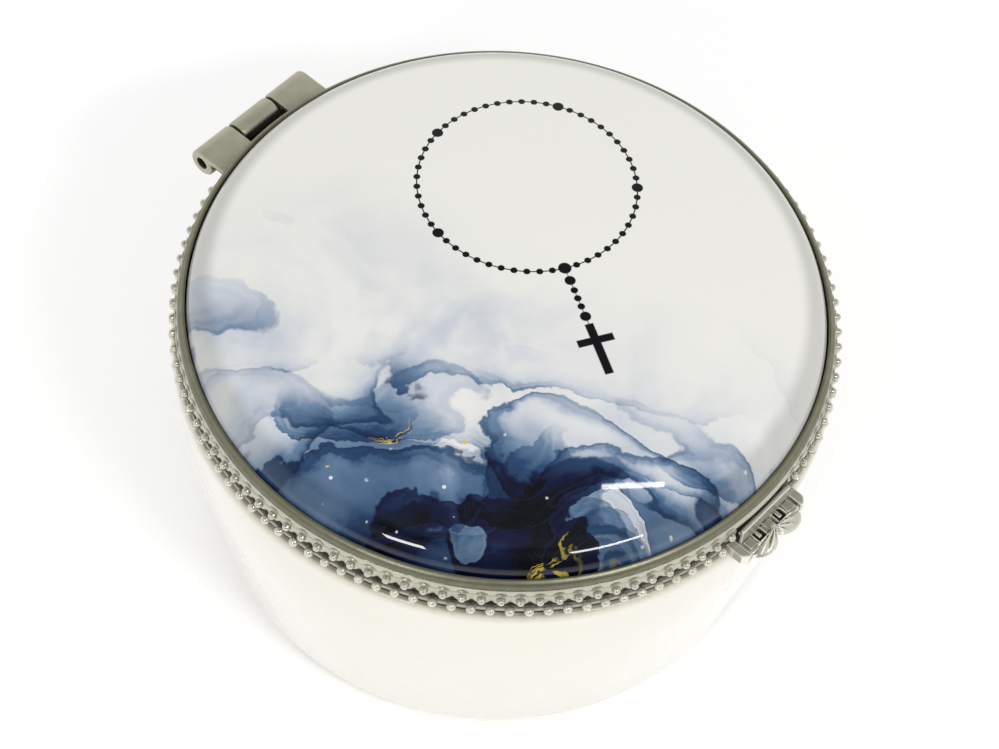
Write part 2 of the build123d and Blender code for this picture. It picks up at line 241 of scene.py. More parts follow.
class StageSettings(bpy.types.PropertyGroup):
    """Camera, lamps and floor."""

    heading: turn("Camera heading", "Side that the camera stands on", -143.2)
    elevation: turn("Camera elevation", "Angle above the table", 55.755)
    roll: turn("Camera roll", "Tilt of the camera", 6.143)
    distance: length("Camera distance", "From the camera to its target", 276.44)
    target: FloatVectorProperty(
        name="Target",
        description="Place that the camera looks at",
        default=(-6.726 * MM, -4.899 * MM, 36.0 * MM),
        subtype="TRANSLATION",
        precision=5,
    )
    lens: FloatProperty(
        name="Lens", description="Focal length in millimetres", default=94.976, unit="CAMERA"
    )
    sky: FloatProperty(name="Sky", description="Level of the room's light", default=0.745, min=0)
    lamp: FloatProperty(name="Lamps", description="Radiance of the lamps", default=26, min=0)
    lamp_distance: length("Lamp distance", "From the lid to the lamps", 500)
    floor: colour("Floor", "Pale table", (0.72, 0.72, 0.72))
    floor_lift: FloatProperty(
        name="Floor lift", description="Brings the seen floor up to white", default=0.12, min=0
    )
    tent: length("Tent", "Radius of the tent that reflections show", 900)
    low_card: colour("Low card", "Dark part of the tent, low down", (0.7, 0.7, 0.67))
    high_card: colour("High card", "Grey part of the tent, half way up", (0.16, 0.16, 0.15))
    top_card: colour("Top card", "Top of the tent", (0.30, 0.30, 0.28))
    eye_card: colour("Eye card", "Dark round behind the camera", (0.03, 0.03, 0.03))


# ---- Node trees ----


def maths(operation, reflected=False):
    """Method of a Signal that adds a Math node. Reflected, it puts the Signal last."""

    def method(self, *others):
        values = (*others, self) if reflected else (self, *others)
        return self.node("ShaderNodeMath", enumerate(values), {"operation": operation})

    return method


class Signal:
    """A socket in a node tree. Arithmetic on it adds the Math nodes that it needs."""

    def __init__(self, tree, socket=None):
        self.tree = tree
        self.socket = socket

    def node(self, kind, inputs=(), settings=(), output=0):
        """Adds a node: its settings first, then the values or links of its sockets."""
        made = self.tree.nodes.new(kind)
        for name, value in dict(settings).items():
            if name == "stops":
                lay_stops(made.color_ramp, value)
            else:
                setattr(made, name, value)
        for name, value in dict(inputs).items():
            if isinstance(name, int):
                socket = made.inputs[name]
            else:
                alike = [each for each in made.inputs if name in (each.name, each.identifier)]
                socket = next(each for each in alike if each.enabled)
            if isinstance(value, Signal):
                self.tree.links.new(value.socket, socket)
            else:
                socket.default_value = value
        if isinstance(output, str):
            return Signal(self.tree, made.outputs[output])
        results = [each for each in made.outputs if each.enabled]
        return Signal(self.tree, results[output] if results else None)

    __add__ = __radd__ = maths("ADD")
    __sub__ = maths("SUBTRACT")
    __rsub__ = maths("SUBTRACT", reflected=True)
    __mul__ = __rmul__ = maths("MULTIPLY")
    __truediv__ = maths("DIVIDE")
    __rtruediv__ = maths("DIVIDE", reflected=True)
    __pow__ = maths("POWER")
    __abs__ = maths("ABSOLUTE")
    floored = maths("FLOOR")
    fraction = maths("FRACT")
    larger = maths("MAXIMUM")
    smaller = maths("MINIMUM")
    sine = maths("SINE")
    cosine = maths("COSINE")
    bearing = maths("ARCTAN2")

    def step(self, low, high):
        """0 below low and 1 above high, with a smooth change between them."""
        return self.node(
            "ShaderNodeMapRange",
            {"Value": self, "From Min": low, "From Max": high},
            {"interpolation_type": "SMOOTHSTEP"},
        )

    def line(self, width):
        """1 where the value is 0, fading to 0 at the width on each side."""
        return 1 - abs(self).step(0.0, width)


def lay_stops(ramp, stops):
    """Sets a colour ramp's stops from (place, colour) pairs."""
    while len(ramp.elements) > 1:
        ramp.elements.remove(ramp.elements[-1])
    ramp.elements[0].position, ramp.elements[0].color = stops[0][0], (*stops[0][1], 1)
    for place, tint in stops[1:]:
        ramp.elements.new(place).color = (*tint, 1)


def mixed(factor, first, second, blend="MIX"):
    """Colour between two colours, where any of the three may be a Signal or a value."""
    first = first if isinstance(first, Signal) else (*first, 1)
    second = second if isinstance(second, Signal) else (*second, 1)
    tree = next(each for each in (factor, first, second) if isinstance(each, Signal))
    return tree.node(
        "ShaderNodeMix",
        {"Factor_Float": factor, "A_Color": first, "B_Color": second},
        {"data_type": "RGBA", "blend_type": blend},
    )


def noise(place, scale, detail=3.0, roughness=0.5, output=0):
    """Noise on a place in the piece's own coordinates."""
    sockets = {"Vector": place, "Scale": scale, "Detail": detail, "Roughness": roughness}
    return place.node("ShaderNodeTexNoise", sockets, output=output)


def vectors(operation, first, second, output=0):
    """Vector Math node on two vectors, of which the first is a Signal."""
    settings = {"operation": operation}
    return first.node("ShaderNodeVectorMath", {0: first, 1: second}, settings, output)


def scaled(vector, factor):
    """Vector times a number."""
    sockets = {"Vector": vector, "Scale": factor}
    return vector.node("ShaderNodeVectorMath", sockets, {"operation": "SCALE"})


def new_finish(name):
    """A bare material, as the material and the Signal that starts its tree."""
    material = bpy.data.materials.new(name)
    material.use_nodes = True
    material.node_tree.nodes.clear()
    return material, Signal(material.node_tree)


def coat(start, **sockets):
    """Ends a material's tree in a Principled shader with these sockets, by name."""
    shader = start.node(
        "ShaderNodeBsdfPrincipled", {name.replace("_", " "): sockets[name] for name in sockets}
    )
    start.node("ShaderNodeOutputMaterial", {"Surface": shader})


def from_axis(first, second):
    """Distance from an axis, from two coordinates across it."""
    return (first * first + second * second) ** 0.5


def bumped(height, strength, distance):
    """Normal from a height."""
    return height.node(
        "ShaderNodeBump", {"Height": height, "Strength": strength, "Distance": distance}
    )


def own_place(start):
    """The piece's own coordinates, in millimetres."""
    return scaled(start.node("ShaderNodeTexCoord", output="Object"), 1 / MM)


def parts_of(vector):
    """X, Y and Z of a vector."""
    return [vector.node("ShaderNodeSeparateXYZ", {"Vector": vector}, output=k) for k in range(3)]


# ---- Finishes ----


def porcelain_finish(start):
    """Ivory white glaze, with painted brown shade just below the metal."""
    look = bpy.context.scene.porcelain
    place = own_place(start)
    pooled = noise(place, 0.05, 2.0).step(0.3, 0.75)
    height = parts_of(place)[2]
    # Painted shade: brown on the glaze, strongest just below the cup collar and fading over this
    # depth.
    under_metal_shade_depth = 1.7  # millimetres
    rise = (height - (CUP_COLLAR_BOTTOM / MM - under_metal_shade_depth)).step(0.0, under_metal_shade_depth)
    under_metal_shade = rise**2 * (0.35 + noise(place, 1.2) * 0.4)
    glaze = mixed(pooled * 0.6, look.glaze, look.pooled)
    coat(
        start,
        Base_Color=mixed(under_metal_shade, glaze, look.under_metal_shade),
        Roughness=0.16 + pooled * 0.06,
        IOR=1.52,
        Coat_Weight=1.0,
        Coat_Roughness=0.03,
        Coat_IOR=1.5,
        Normal=bumped(noise(place, 0.16, 2.0), 0.35, 0.25 * MM),
    )


def cement_finish(start):
    """Grainy cement."""
    look = bpy.context.scene.porcelain
    grain = noise(own_place(start), 3.0, 4.0)
    coat(
        start,
        Base_Color=mixed(grain, look.bare, [part * 0.7 for part in look.bare]),
        Roughness=0.85,
        Normal=bumped(grain, 0.4, 0.05 * MM),
    )


def fold(flow, direction, stretch, seed, mask, threshold, width):
    """Sheet of ink with one sharp edge, thinning away from it: its depth and its dark line."""
    laid = flow.node(
        "ShaderNodeMapping",
        {
            "Vector": flow,
            "Location": (seed, -seed * 0.7, seed * 0.31),
            "Rotation": (0, 0, radians(direction)),
            "Scale": (1.0, stretch, 1.0),
        },
    )
    field = noise(laid, 1.25, 2.0, 0.42) + mask * 0.08 - threshold
    edge = field.step(0.0, 0.004)
    fade = 1 - field.step(0.0, width)
    streaks = (field * 190).sine() * 0.5 + 0.5
    depth = edge * (fade * fade * 0.76 + fade * 0.16 + 0.07)
    depth = depth * (0.86 + streaks * fade * 0.28)
    line = field.line(0.0045) + (field - 0.017).line(0.003) * 0.4
    return depth, line


# Beads of the pendant: height from the loop's middle, and radius, in radii of the loop.
PENDANT = (
    (-1.0, 0.06), (-1.14, 0.05), (-1.25, 0.034), (-1.34, 0.034), (-1.43, 0.034), (-1.54, 0.05)
)


def rosary_mark(across, away, size):
    """Ink drawing of a loop of beads with a plain cross, as 1 on the ink and 0 beside it."""
    turn_by, right, up = radians(24), 0.02, 0.38
    beads, beads_to_a_knot = 55, 11
    x = ((across - right) * cos(turn_by) + (away - up) * sin(turn_by)) / size
    y = ((away - up) * cos(turn_by) - (across - right) * sin(turn_by)) / size
    around = x.bearing(0 - y) * (beads / (2 * pi))
    from_centre = from_axis(x, y)
    nearest = (around + 0.5).floored()
    off_bead = from_axis((around - nearest) * (2 * pi / beads), from_centre - 1)
    knot = abs((nearest / beads_to_a_knot + 0.5).fraction() - 0.5)
    bead_size = 0.032 + (1 - knot.step(0.0, 0.02)) * 0.02
    ink = (bead_size - off_bead).step(-0.004, 0.004)
    ink = ink.larger((0.006 - abs(from_centre - 1)).step(-0.003, 0.003))

    def stroke(half_width, low, high):
        """Upright bar with soft edges, in the middle of the drawing."""
        tall = abs(y - (low + high) / 2) - (high - low) / 2
        return (0 - (abs(x) - half_width).larger(tall)).step(-0.004, 0.008)

    for height, radius in PENDANT:
        ink = ink.larger((radius - from_axis(x, y - height)).step(-0.004, 0.004))
    cord, upright, bar = (0.006, -1.64, -1.0), (0.042, -2.16, -1.62), (0.17, -1.84, -1.76)
    for part in (cord, upright, bar):
        ink = ink.larger(stroke(*part))
    return ink


# Folds of the print: direction in degrees, stretch, seed, mask, threshold, width and weight.
FOLDS = (
    (-25, 2.6, 2.3, "shore", 0.55, 0.14, 0.42),
    (30, 2.2, 6.1, "density", 0.53, 0.45, 0.75),
    (-60, 2.4, 11.4, "density", 0.57, 0.25, 0.70),
    (75, 2.8, 15.2, "shore", 0.59, 0.12, 0.40),
    (5, 3.2, 19.9, "density", 0.51, 0.14, 0.45),
    (-40, 1.6, 24.5, "haze", 0.56, 0.22, 0.15),
    (50, 2.0, 27.7, "haze", 0.60, 0.15, 0.11),
    (-15, 2.0, 35.1, "shore", 0.49, 0.10, 0.30),
)
# The fold that is washed out again: direction, stretch, seed, threshold and width.
CLEARING = (20, 1.8, 31.7, 0.69, 0.5)


def print_finish(start):
    """Glazed print: pale marbling, with deep blue folded washes on one side."""
    look = bpy.context.scene.print_look
    centred = start.node(
        "ShaderNodeMapping",
        {
            "Vector": own_place(start),
            "Rotation": (0, 0, -look.heading - pi / 2),
            "Scale": (MM / DOME_RADIUS,) * 3,
        },
    )
    flat = vectors("MULTIPLY", centred, (1.0, 1.0, 0.0))
    across, away, _ = parts_of(flat)
    half = (0.5, 0.5, 0.5)
    broad = scaled(vectors("SUBTRACT", noise(flat, 1.3, 1.0, output=1), half), 0.75)
    small = scaled(vectors("SUBTRACT", noise(flat, 5.5, 4.0, 0.62, output=1), half), 0.13)
    flow = vectors("ADD", vectors("ADD", flat, broad), small)

    # How much ink lies where: dense along the near rim, thin veils above it.
    rim = 0 - away - across * (0.08 + across * 0.12) + (noise(flat, 1.7, 1.0) - 0.5) * 0.42
    density = rim.step(0.46, 0.84)
    shore = rim.step(0.30, 0.56)
    haze = (rim - across * 0.25).step(-0.25, 0.5)

    tone = haze * (0.02 + noise(flow, 2.6, 3.0, 0.6).step(0.35, 0.75) * 0.13)
    tone = tone + density * density * 0.32 + shore * noise(flow, 3.3, 3.0).step(0.4, 0.8) * 0.16
    lines = None
    for direction, stretch, seed, mask, threshold, width, weight in FOLDS:
        depth, line = fold(flow, direction, stretch, seed, shore, threshold, width)
        over = {"shore": shore, "density": density, "haze": haze}[mask]
        tone = tone + depth * over * weight
        line = line * over * min(1.0, weight * 2)
        lines = line if lines is None else lines.larger(line)
    clearing, clear_line = fold(flow, *CLEARING[:3], shore, *CLEARING[3:])
    tone = tone * (1 - clearing.step(0.0, 0.05) * 0.7)
    lines = lines.larger(clear_line * shore)
    tone = tone * (0.55 + noise(flow, 2.4, 4.0, 0.6) * 0.75)
    tone = tone / (tone * 0.55 + 0.75)
    pale = (0 - across).step(0.5, 0.85) * (away + 0.3).step(0.0, 0.3)
    tone = tone * (1 - pale * 0.65)
    stops = zip(
        (0.0, 0.14, 0.32, 0.54, 0.84, 1.0),
        (look.paper, look.mist, look.slate, look.blue, look.navy, look.ink),
    )
    paint = tone.node("ShaderNodeValToRGB", {"Fac": tone}, {"stops": list(stops)})
    drawn = 0.35 + noise(flow, 5.0, 2.0).step(0.35, 0.6) * 0.6
    paint = mixed((lines * drawn).smaller(0.92), paint, look.ink_line)

    # Gold lies in short broken threads along two of the folds, and as flecks beside them.
    breaks = noise(vectors("ADD", flat, (5.0, 2.0, 0.0)), 14.0, 3.0, 0.7).step(0.42, 0.5)
    place = noise(vectors("ADD", flat, (3.0, 7.0, 0.0)), 2.3, 1.0).step(0.56, 0.62)
    gilt = [fold(flow, *FOLDS[k][:3], shore, *FOLDS[k][4:6])[1] for k in (1, 2)]
    gold = (gilt[0] + gilt[1]).step(0.05, 0.3) * place * breaks * shore
    fleck = noise(vectors("ADD", flat, (9.0, 4.0, 0.0)), 8.0, 4.0, 0.75).step(0.70, 0.715)
    gold = gold.larger(fleck * rim.step(0.3, 0.45))
    paint = mixed(gold, paint, look.gold)
    bubbles = start.node("ShaderNodeTexVoronoi", {"Vector": flat, "Scale": 17.0})
    bubble = (0.13 - bubbles).step(0.0, 0.04) * noise(flat, 7.0).step(0.54, 0.6) * shore
    paint = mixed(bubble * 0.85, paint, look.paper)
    paint = mixed(rosary_mark(across, away, 0.35), paint, look.ink)

    # Painted shade: the print is painted greyer where the dome curves down, and a little lighter
    # again in a thin painted highlight at the very rim.
    from_middle = from_axis(across, away)
    edge_shade = (from_middle - 0.9).step(0.0, 0.05) * 0.42
    edge_shade = edge_shade * (1 - (from_middle - 0.991).step(0.0, 0.004) * 0.8)
    paint = mixed(edge_shade, paint, look.edge, "MULTIPLY")
    coat(
        start,
        Base_Color=paint,
        Roughness=0.4,
        Specular_IOR_Level=0.1,
        Coat_Weight=1.0,
        Coat_Roughness=0.02,
        Coat_IOR=1.42,
        Normal=bumped(noise(flat, 3.0, 2.0), 0.10, 0.1 * MM),
    )


def metal_finish(
    start, film_and_shade_at=None, roughness=0.2, dullness=0.35, satin=0.0, hollows=0.0, edges=0.0
):
    """Nickel silver with fine wear and cast pits, whose oxide darkens them. More darkening lies
    where the given map of places says, partly a dull tone and partly painted shade; painted shade
    may lie in its hollows, and a painted highlight on its edges."""
    look = bpy.context.scene.mount
    place = own_place(start)
    wear = noise(place, 0.55, 4.0, 0.6)
    pits = noise(place, 4.5, 3.0, 0.6)
    wear_and_highlight = mixed(dullness * (0.6 + wear * 0.7), look.bright, look.dull)
    film_and_shade = pits.step(0.6, 0.8) * 0.25
    metallic = (1 - satin) + wear * satin * 0.2
    if film_and_shade_at:
        film_and_shade = film_and_shade.larger(film_and_shade_at(*parts_of(place)) * (0.75 + pits * 0.5))
    # Painted shade in the hollows and a painted highlight on the edges, both found from Pointiness.
    if hollows:
        bend = start.node("ShaderNodeNewGeometry", output="Pointiness")
        film_and_shade = film_and_shade.larger((0.5 - bend).step(0.0, 0.035) * hollows)
        if edges:
            edge = (bend - 0.5).step(0.004, 0.04) * edges
            film_and_shade = film_and_shade * (1 - edge)
            wear_and_highlight = mixed(edge, wear_and_highlight, look.edge_highlight)
            metallic = metallic * (1 - edge * 0.9)
    film_and_shade = film_and_shade.smaller(1.0)
    coat(
        start,
        Base_Color=mixed(film_and_shade, wear_and_highlight, look.tarnish_and_shade),
        Metallic=metallic,
        Roughness=roughness + wear * 0.12 + film_and_shade * 0.3,
        Normal=bumped(pits, 0.25, 0.03 * MM),
    )


def slot_shade_finish(start):
    """Painted shade: thin near-black sheets laid at the bottom of the clasp's slots."""
    look = bpy.context.scene.mount
    grain = noise(own_place(start), 5.0, 3.0)
    coat(
        start,
        Base_Color=mixed(grain * 0.4, look.black, look.tarnish_and_shade),
        Metallic=0.3,
        Roughness=0.6 + grain * 0.2,
    )


# Each of these is 1 where the metal is darkest and 0 where it is clean, at a place in millimetres.
# The darkening is painted shade and, on the bezel, a painted dark reflection, apart from the duller
# tone of the lobes and the clasp.


def bezel_shade(x, y, height):
    """The band round the dome: dull, and painted darker as a dark reflection, more so below its
    lip, with painted shade in the seam at its foot.
    """
    joint = (LID_COLLAR_TOP / MM + 0.09 - height).step(0.0, 0.06) * 0.95
    return joint.larger(0.36 + (BEZEL_TOP / MM - 0.1 - height).step(0.0, 0.2) * 0.18)


def bead_strip_shade(x, y, height):
    """The lower strip between its beads, in painted shade: olive below, and darkest where the lobes
    shade it.
    """
    face = (COLLAR_RADIUS + 0.22 * MM) / MM
    low = 0.45 + (height - CUP_BEAD_HEIGHT / MM).step(0.0, 0.3) * 0.4
    return (face - from_axis(x, y)).step(-0.02, 0.03) * low


def lobe_film(x, y, height):
    """The scalloped edge, duller than the beads that stand on it."""
    face = (COLLAR_RADIUS + 0.24 * MM) / MM
    return 0.2 * (1 - (from_axis(x, y) - face).step(0.0, 0.08) * 0.85)


def collar_shade(x, y, height):
    """Painted shade on the outside of the collars, where the beaded strips shade it."""
    outside = (from_axis(x, y) - (COLLAR_RADIUS / MM - 0.3)).step(0.0, 0.2)
    return outside * ((LID_COLLAR_TOP - 0.75 * MM) / MM - height).step(0.0, 0.3) * 0.92


def hinge_shade(x, y, height):
    """Painted shade behind the barrel, in the slits between the knuckles, and in the bore."""
    inner, low = (COLLAR_RADIUS + 2.0 * MM) / MM, (PIN_Z + 1.4 * MM) / MM
    behind = (inner - from_axis(x, y)).step(0.0, 0.4) * (low - height).step(0.0, 0.5)
    slit = (0.24 - abs(abs(x) - (HINGE_INNER + MIDDLE_HALF) / 2 / MM)).step(0.0, 0.12)
    bore = (PIN_RADIUS + 0.16 * MM) / MM
    hole = (bore - from_axis(y - PIN_Y / MM, height - PIN_Z / MM)).step(0.0, 0.1)
    return behind.larger(slit).larger(hole)


def clasp_film(x, y, height):
    """The casting, with a duller band between its bright strip and its shell."""
    size = bpy.context.scene.clasp
    front = -(COLLAR_RADIUS + size.band_reach - 0.2 * MM) / MM
    back = -(COLLAR_RADIUS + 0.6 * MM) / MM
    band = (y - front).step(0.0, 0.2) * (back - y).step(0.0, 0.1)
    return 0.12 + band * ((PARTING - size.drop) / MM + 0.3 - height).step(0.0, 0.1) * 0.33


def pin_end_shade(x, y, height):
    """Painted shade on the ends of the pin."""
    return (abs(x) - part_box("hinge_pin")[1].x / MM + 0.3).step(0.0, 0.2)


# Each metal's darkening map, roughness, dullness, satin, painted shade in its hollows and painted
# highlight on its edges.
METALS = {
    "metal": (None,),
    "bezel": (bezel_shade, 0.22, 1.0, 0.2),
    "beads": (bead_strip_shade, 0.18, 0.0, 0.5),
    "lobes": (lobe_film, 0.2, 0.2, 0.3, 0.8),
    "collar": (collar_shade,),
    "hinge": (hinge_shade, 0.3, 0.7, 0.55),
    "clasp": (clasp_film, 0.22, 0.1, 0.5, 1.0, 0.9),
    "pin": (pin_end_shade,),
}
OTHER_FINISHES = {
    "porcelain": porcelain_finish,
    "print": print_finish,
    "cement": cement_finish,
    "black": slot_shade_finish,
}


def finish_named(name):
    """The material of that finish, made when it is first needed."""
    label = f"{name}_finish"
    found = bpy.data.materials.get(label)
    if not found:
        found, start = new_finish(label)
        if name in METALS:
            metal_finish(start, *METALS[name])
        else:
            OTHER_FINISHES[name](start)
    return found


# ---- Meshes ----


def arc(centre, radius, start, end, steps):
    """Points of a profile along an arc, between two angles in radians."""
    return [
        (
            centre[0] + radius * cos(start + (end - start) * k / steps),
            centre[1] + radius * sin(start + (end - start) * k / steps),
        )
        for k in range(steps + 1)
    ]


def rounded(corners, steps=5):
    """Closed outline from (x, y) or (x, y, fillet) corners, with the fillets as arcs."""
    outline = []
    for k, corner in enumerate(corners):
        here = Vector(corner[:2])
        fillet = corner[2] if len(corner) > 2 else 0.0
        if not fillet:
            outline.append(tuple(here))
            continue
        back = (Vector(corners[k - 1][:2]) - here).normalized()
        ahead = (Vector(corners[(k + 1) % len(corners)][:2]) - here).normalized()
        half_angle = back.angle(ahead) / 2
        centre = here + (back + ahead).normalized() * fillet / sin(half_angle)
        first = here + back * fillet / tan(half_angle) - centre
        last = here + ahead * fillet / tan(half_angle) - centre
        start = atan2(first.y, first.x)
        sweep = (atan2(last.y, last.x) - start + pi) % (2 * pi) - pi
        outline += arc(centre, fillet, start, start + sweep, steps)
    return outline


def linked(name, data):
    """New object in the scene."""
    made = bpy.data.objects.new(name, data)
    bpy.context.scene.collection.objects.link(made)
    return made


def baked(source):
    """Plain mesh of an object as its modifiers leave it. The object goes."""
    bpy.context.view_layer.update()
    graph = bpy.context.evaluated_depsgraph_get()
    mesh = bpy.data.meshes.new_from_object(source.evaluated_get(graph))
    bpy.data.objects.remove(source)
    return mesh


def as_object(name, mesh, *finishes, sharp=35):
    """Object in the scene, smooth apart from its sharp edges."""
    for finish in finishes:
        mesh.materials.append(finish_named(finish))
    mesh.polygons.foreach_set("use_smooth", [True] * len(mesh.polygons))
    mesh.set_sharp_from_angle(angle=radians(sharp))
    return linked(name, mesh)


def turned(name, profile, *finishes, start=0.0, sweep=2 * pi, segments=SEGMENTS, change=None):
    """Piece turned about Z from (radius, height) points, whole or over a part of the turn.
    Faces past the profile point numbered change get the second finish."""
    whole = sweep > 2 * pi - 1e-6
    steps = segments if whole else max(2, round(segments * sweep / (2 * pi)))
    angles = [start + sweep * k / steps for k in range(steps if whole else steps + 1)]
    work = bmesh.new()
    rings = []
    for radius, height in profile:
        if radius < TOUCHING:
            rings.append([work.verts.new((0, 0, height))] * len(angles))
        else:
            rings.append(
                [work.verts.new((radius * cos(a), radius * sin(a), height)) for a in angles]
            )
    open_chain = profile[0][0] < TOUCHING and profile[-1][0] < TOUCHING
    pairs = len(rings) - 1 if open_chain else len(rings)
    for k in range(pairs):
        lower, upper = rings[k], rings[(k + 1) % len(rings)]
        for j in range(len(angles) if whole else len(angles) - 1):
            i = (j + 1) % len(angles)
            corners = list(dict.fromkeys((lower[j], lower[i], upper[i], upper[j])))
            face = work.faces.new(corners)
            face.material_index = int(change is not None and k >= change)
    if not whole:
        work.faces.new([ring[0] for ring in rings])
        work.faces.new([ring[-1] for ring in reversed(rings)])
    return as_object(name, closed_mesh(name, work), *finishes)


def closed_mesh(name, work):
    """Mesh from a finished bmesh, with its faces pointing outwards."""
    bmesh.ops.recalc_face_normals(work, faces=work.faces)
    mesh = bpy.data.meshes.new(name)
    work.to_mesh(mesh)
    work.free()
    return mesh


def plate(name, outlines, thickness, edge, placing, finish="metal"):
    """Flat plate with rounded edges from an outline and its holes, about a placed XY plane."""
    curve = bpy.data.curves.new(name, "CURVE")
    curve.dimensions = "2D"
    curve.fill_mode = "BOTH"
    curve.extrude = thickness / 2 - edge
    curve.bevel_depth = edge
    curve.bevel_resolution = 2
    curve.offset = -edge
    for outline in outlines:
        spline = curve.splines.new("POLY")
        spline.points.add(len(outline) - 1)
        spline.use_cyclic_u = True
        for point, (x, y) in zip(spline.points, outline):
            point.co = (x, y, 0, 1)
    raw = baked(linked(name, curve))
    bpy.data.curves.remove(curve)
    work = bmesh.new()
    work.from_mesh(raw)
    bpy.data.meshes.remove(raw)
    bmesh.ops.remove_doubles(work, verts=work.verts, dist=TOUCHING)
    mesh = closed_mesh(name, work)
    mesh.materials.clear()
    mesh.transform(placing)
    return as_object(name, mesh, finish)


def joined(name, pieces):
    """One object from several, which keep their finishes."""
    materials = []
    work = bmesh.new()
    for piece in pieces:
        first = len(work.faces)
        work.from_mesh(piece.data)
        work.faces.ensure_lookup_table()
        slots = []
        for material in piece.data.materials:
            if material not in materials:
                materials.append(material)
            slots.append(materials.index(material))
        for face in work.faces[first:]:
            face.material_index = slots[face.material_index]
        bpy.data.objects.remove(piece)
    mesh = bpy.data.meshes.new(name)
    work.to_mesh(mesh)
    work.free()
    for material in materials:
        mesh.materials.append(material)
    return linked(name, mesh)


def cast(name, pieces, voxel, rounds, finish):
    """One soft-edged casting from overlapping pieces, tumbled for some rounds."""
    lump = joined(name, pieces)
    lump.data.transform(Matrix.Scale(1 / MM, 4))
    remesh = lump.modifiers.new("Cast", "REMESH")
    remesh.mode = "VOXEL"
    remesh.voxel_size = voxel / MM
    tumble = lump.modifiers.new("Tumble", "SMOOTH")
    tumble.iterations = rounds
    tumble.factor = 0.5
    mesh = baked(lump)
    mesh.transform(Matrix.Scale(MM, 4))
    mesh.materials.clear()
    return as_object(name, mesh, finish, sharp=180)


def dressed(piece, body, slot, *nodes):
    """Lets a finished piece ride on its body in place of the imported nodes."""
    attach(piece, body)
    if nodes:
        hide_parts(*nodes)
    return piece


def refinished(node, finish):
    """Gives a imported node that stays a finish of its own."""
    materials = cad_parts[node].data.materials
    materials.clear()
    materials.append(finish_named(finish))


def box_outline(half_width, front, back, fillet=0.0, place=0.0):
    """Rounded rectangle about a place to the side, between two distances in front."""
    left, right = place - half_width, place + half_width
    corners = ((left, -front), (right, -front), (right, -back), (left, -back))
    return rounded([(*corner, fillet) for corner in corners], 4)


def raised(height):
    """Placing at a height."""
    return Matrix.Translation((0, 0, height))


# ---- Porcelain ----


class ROSARYBOX_OT_cup(bpy.types.Operator):
    """Turns the glazed cup"""

    bl_idname = "rosary_box.cup"
    bl_label = "Cup"

    def execute(self, context):
        size = context.scene.porcelain
        lean = size.flank_taper
        ledge = CUP_COLLAR_BOTTOM - size.ledge_gap
        belly = ledge - size.shoulder_rise
        mouth = NECK_RADIUS - size.rim_land
        flank = arc((BELLY_RADIUS - size.flank_bulge, belly), size.flank_bulge, -lean, 0, 14)
        foot = flank[0][0] - flank[0][1] * tan(lean)
        foot_inner = foot - size.heel_radius - size.foot_ring
        turn_over = asin(size.shoulder_rise / size.shoulder_radius)
        shoulder_centre = (BELLY_RADIUS - size.shoulder_radius, belly)
        shoulder = arc(shoulder_centre, size.shoulder_radius, 0, turn_over, 8)
        floor_edge = foot + size.floor_thickness * tan(lean) - size.wall / cos(lean)
        bend = size.floor_thickness + (mouth - floor_edge) / tan(lean)
        edge = size.foot_recess / 2
        profile = rounded(
            [
                (0, size.foot_recess),
                (foot_inner, size.foot_recess, edge),
                (foot_inner, 0, edge / 2),
                (foot, 0, size.heel_radius),
                *flank[:-1],
                *shoulder[:-1],
                (*shoulder[-1], 0.25 * MM),
                (NECK_RADIUS, ledge),
                (NECK_RADIUS, CUP_RIM, 0.2 * MM),
                (mouth, CUP_RIM, 0.6 * MM),
                (mouth, bend, 8 * MM),
                (floor_edge, size.floor_thickness, size.floor_corner),
                (0, size.floor_thickness),
            ],
            12,
        )
        dressed(turned("porcelain_cup", profile, "porcelain"), "cup", "porcelain", "cup")
        return {"FINISHED"}


class ROSARYBOX_OT_dome(bpy.types.Operator):
    """Turns the dome, printed above and plain below"""

    bl_idname = "rosary_box.dome"
    bl_label = "Dome"

    def execute(self, context):
        size = context.scene.porcelain
        radius = size.dome_shoulder
        centre = (DOME_RADIUS - radius, DOME_SEAT + size.dome_side)
        rise = CROWN - centre[1]
        crown_radius = (centre[0] ** 2 + rise**2 - radius**2) / (2 * (rise - radius))
        crown_height = CROWN - crown_radius
        edge = atan2(centre[1] - crown_height, centre[0])
        hollow = DOME_RADIUS - size.dome_land
        hollow_top = DOME_SEAT + size.dome_hollow
        crown = arc((0, crown_height), crown_radius, edge, pi / 2, 24)
        outside = [(DOME_RADIUS, DOME_SEAT), *arc(centre, radius, 0, edge, 20), *crown[1:-1]]
        under = rounded(
            [
                (0, hollow_top),
                (hollow - size.hollow_slope, hollow_top, 0.8 * MM),
                (hollow, DOME_SEAT, 0.3 * MM),
                (DOME_RADIUS, DOME_SEAT),
            ]
        )
        profile = [(0, CROWN), *reversed(outside), *reversed(under[:-1])]
        dome = turned("printed_dome", profile, "print", "porcelain", change=len(outside))
        dressed(dome, "lid", "printed_porcelain", "lid_dome")
        return {"FINISHED"}


# ---- Metal round the rims ----


def skirt_ends(half_width):
    """Angle on each side of a gap in the metal of that half width."""
    return asin(half_width / COLLAR_RADIUS)


def both_sides(name, profile, finish, front, back):
    """Two arcs of one profile, from a gap at the front to a gap at the back."""
    sweep = pi - front - back
    starts = (front - pi / 2, pi / 2 + back)
    return [
        turned(f"{name}_{number}", profile, finish, start=start, sweep=sweep)
        for number, start in enumerate(starts)
    ]


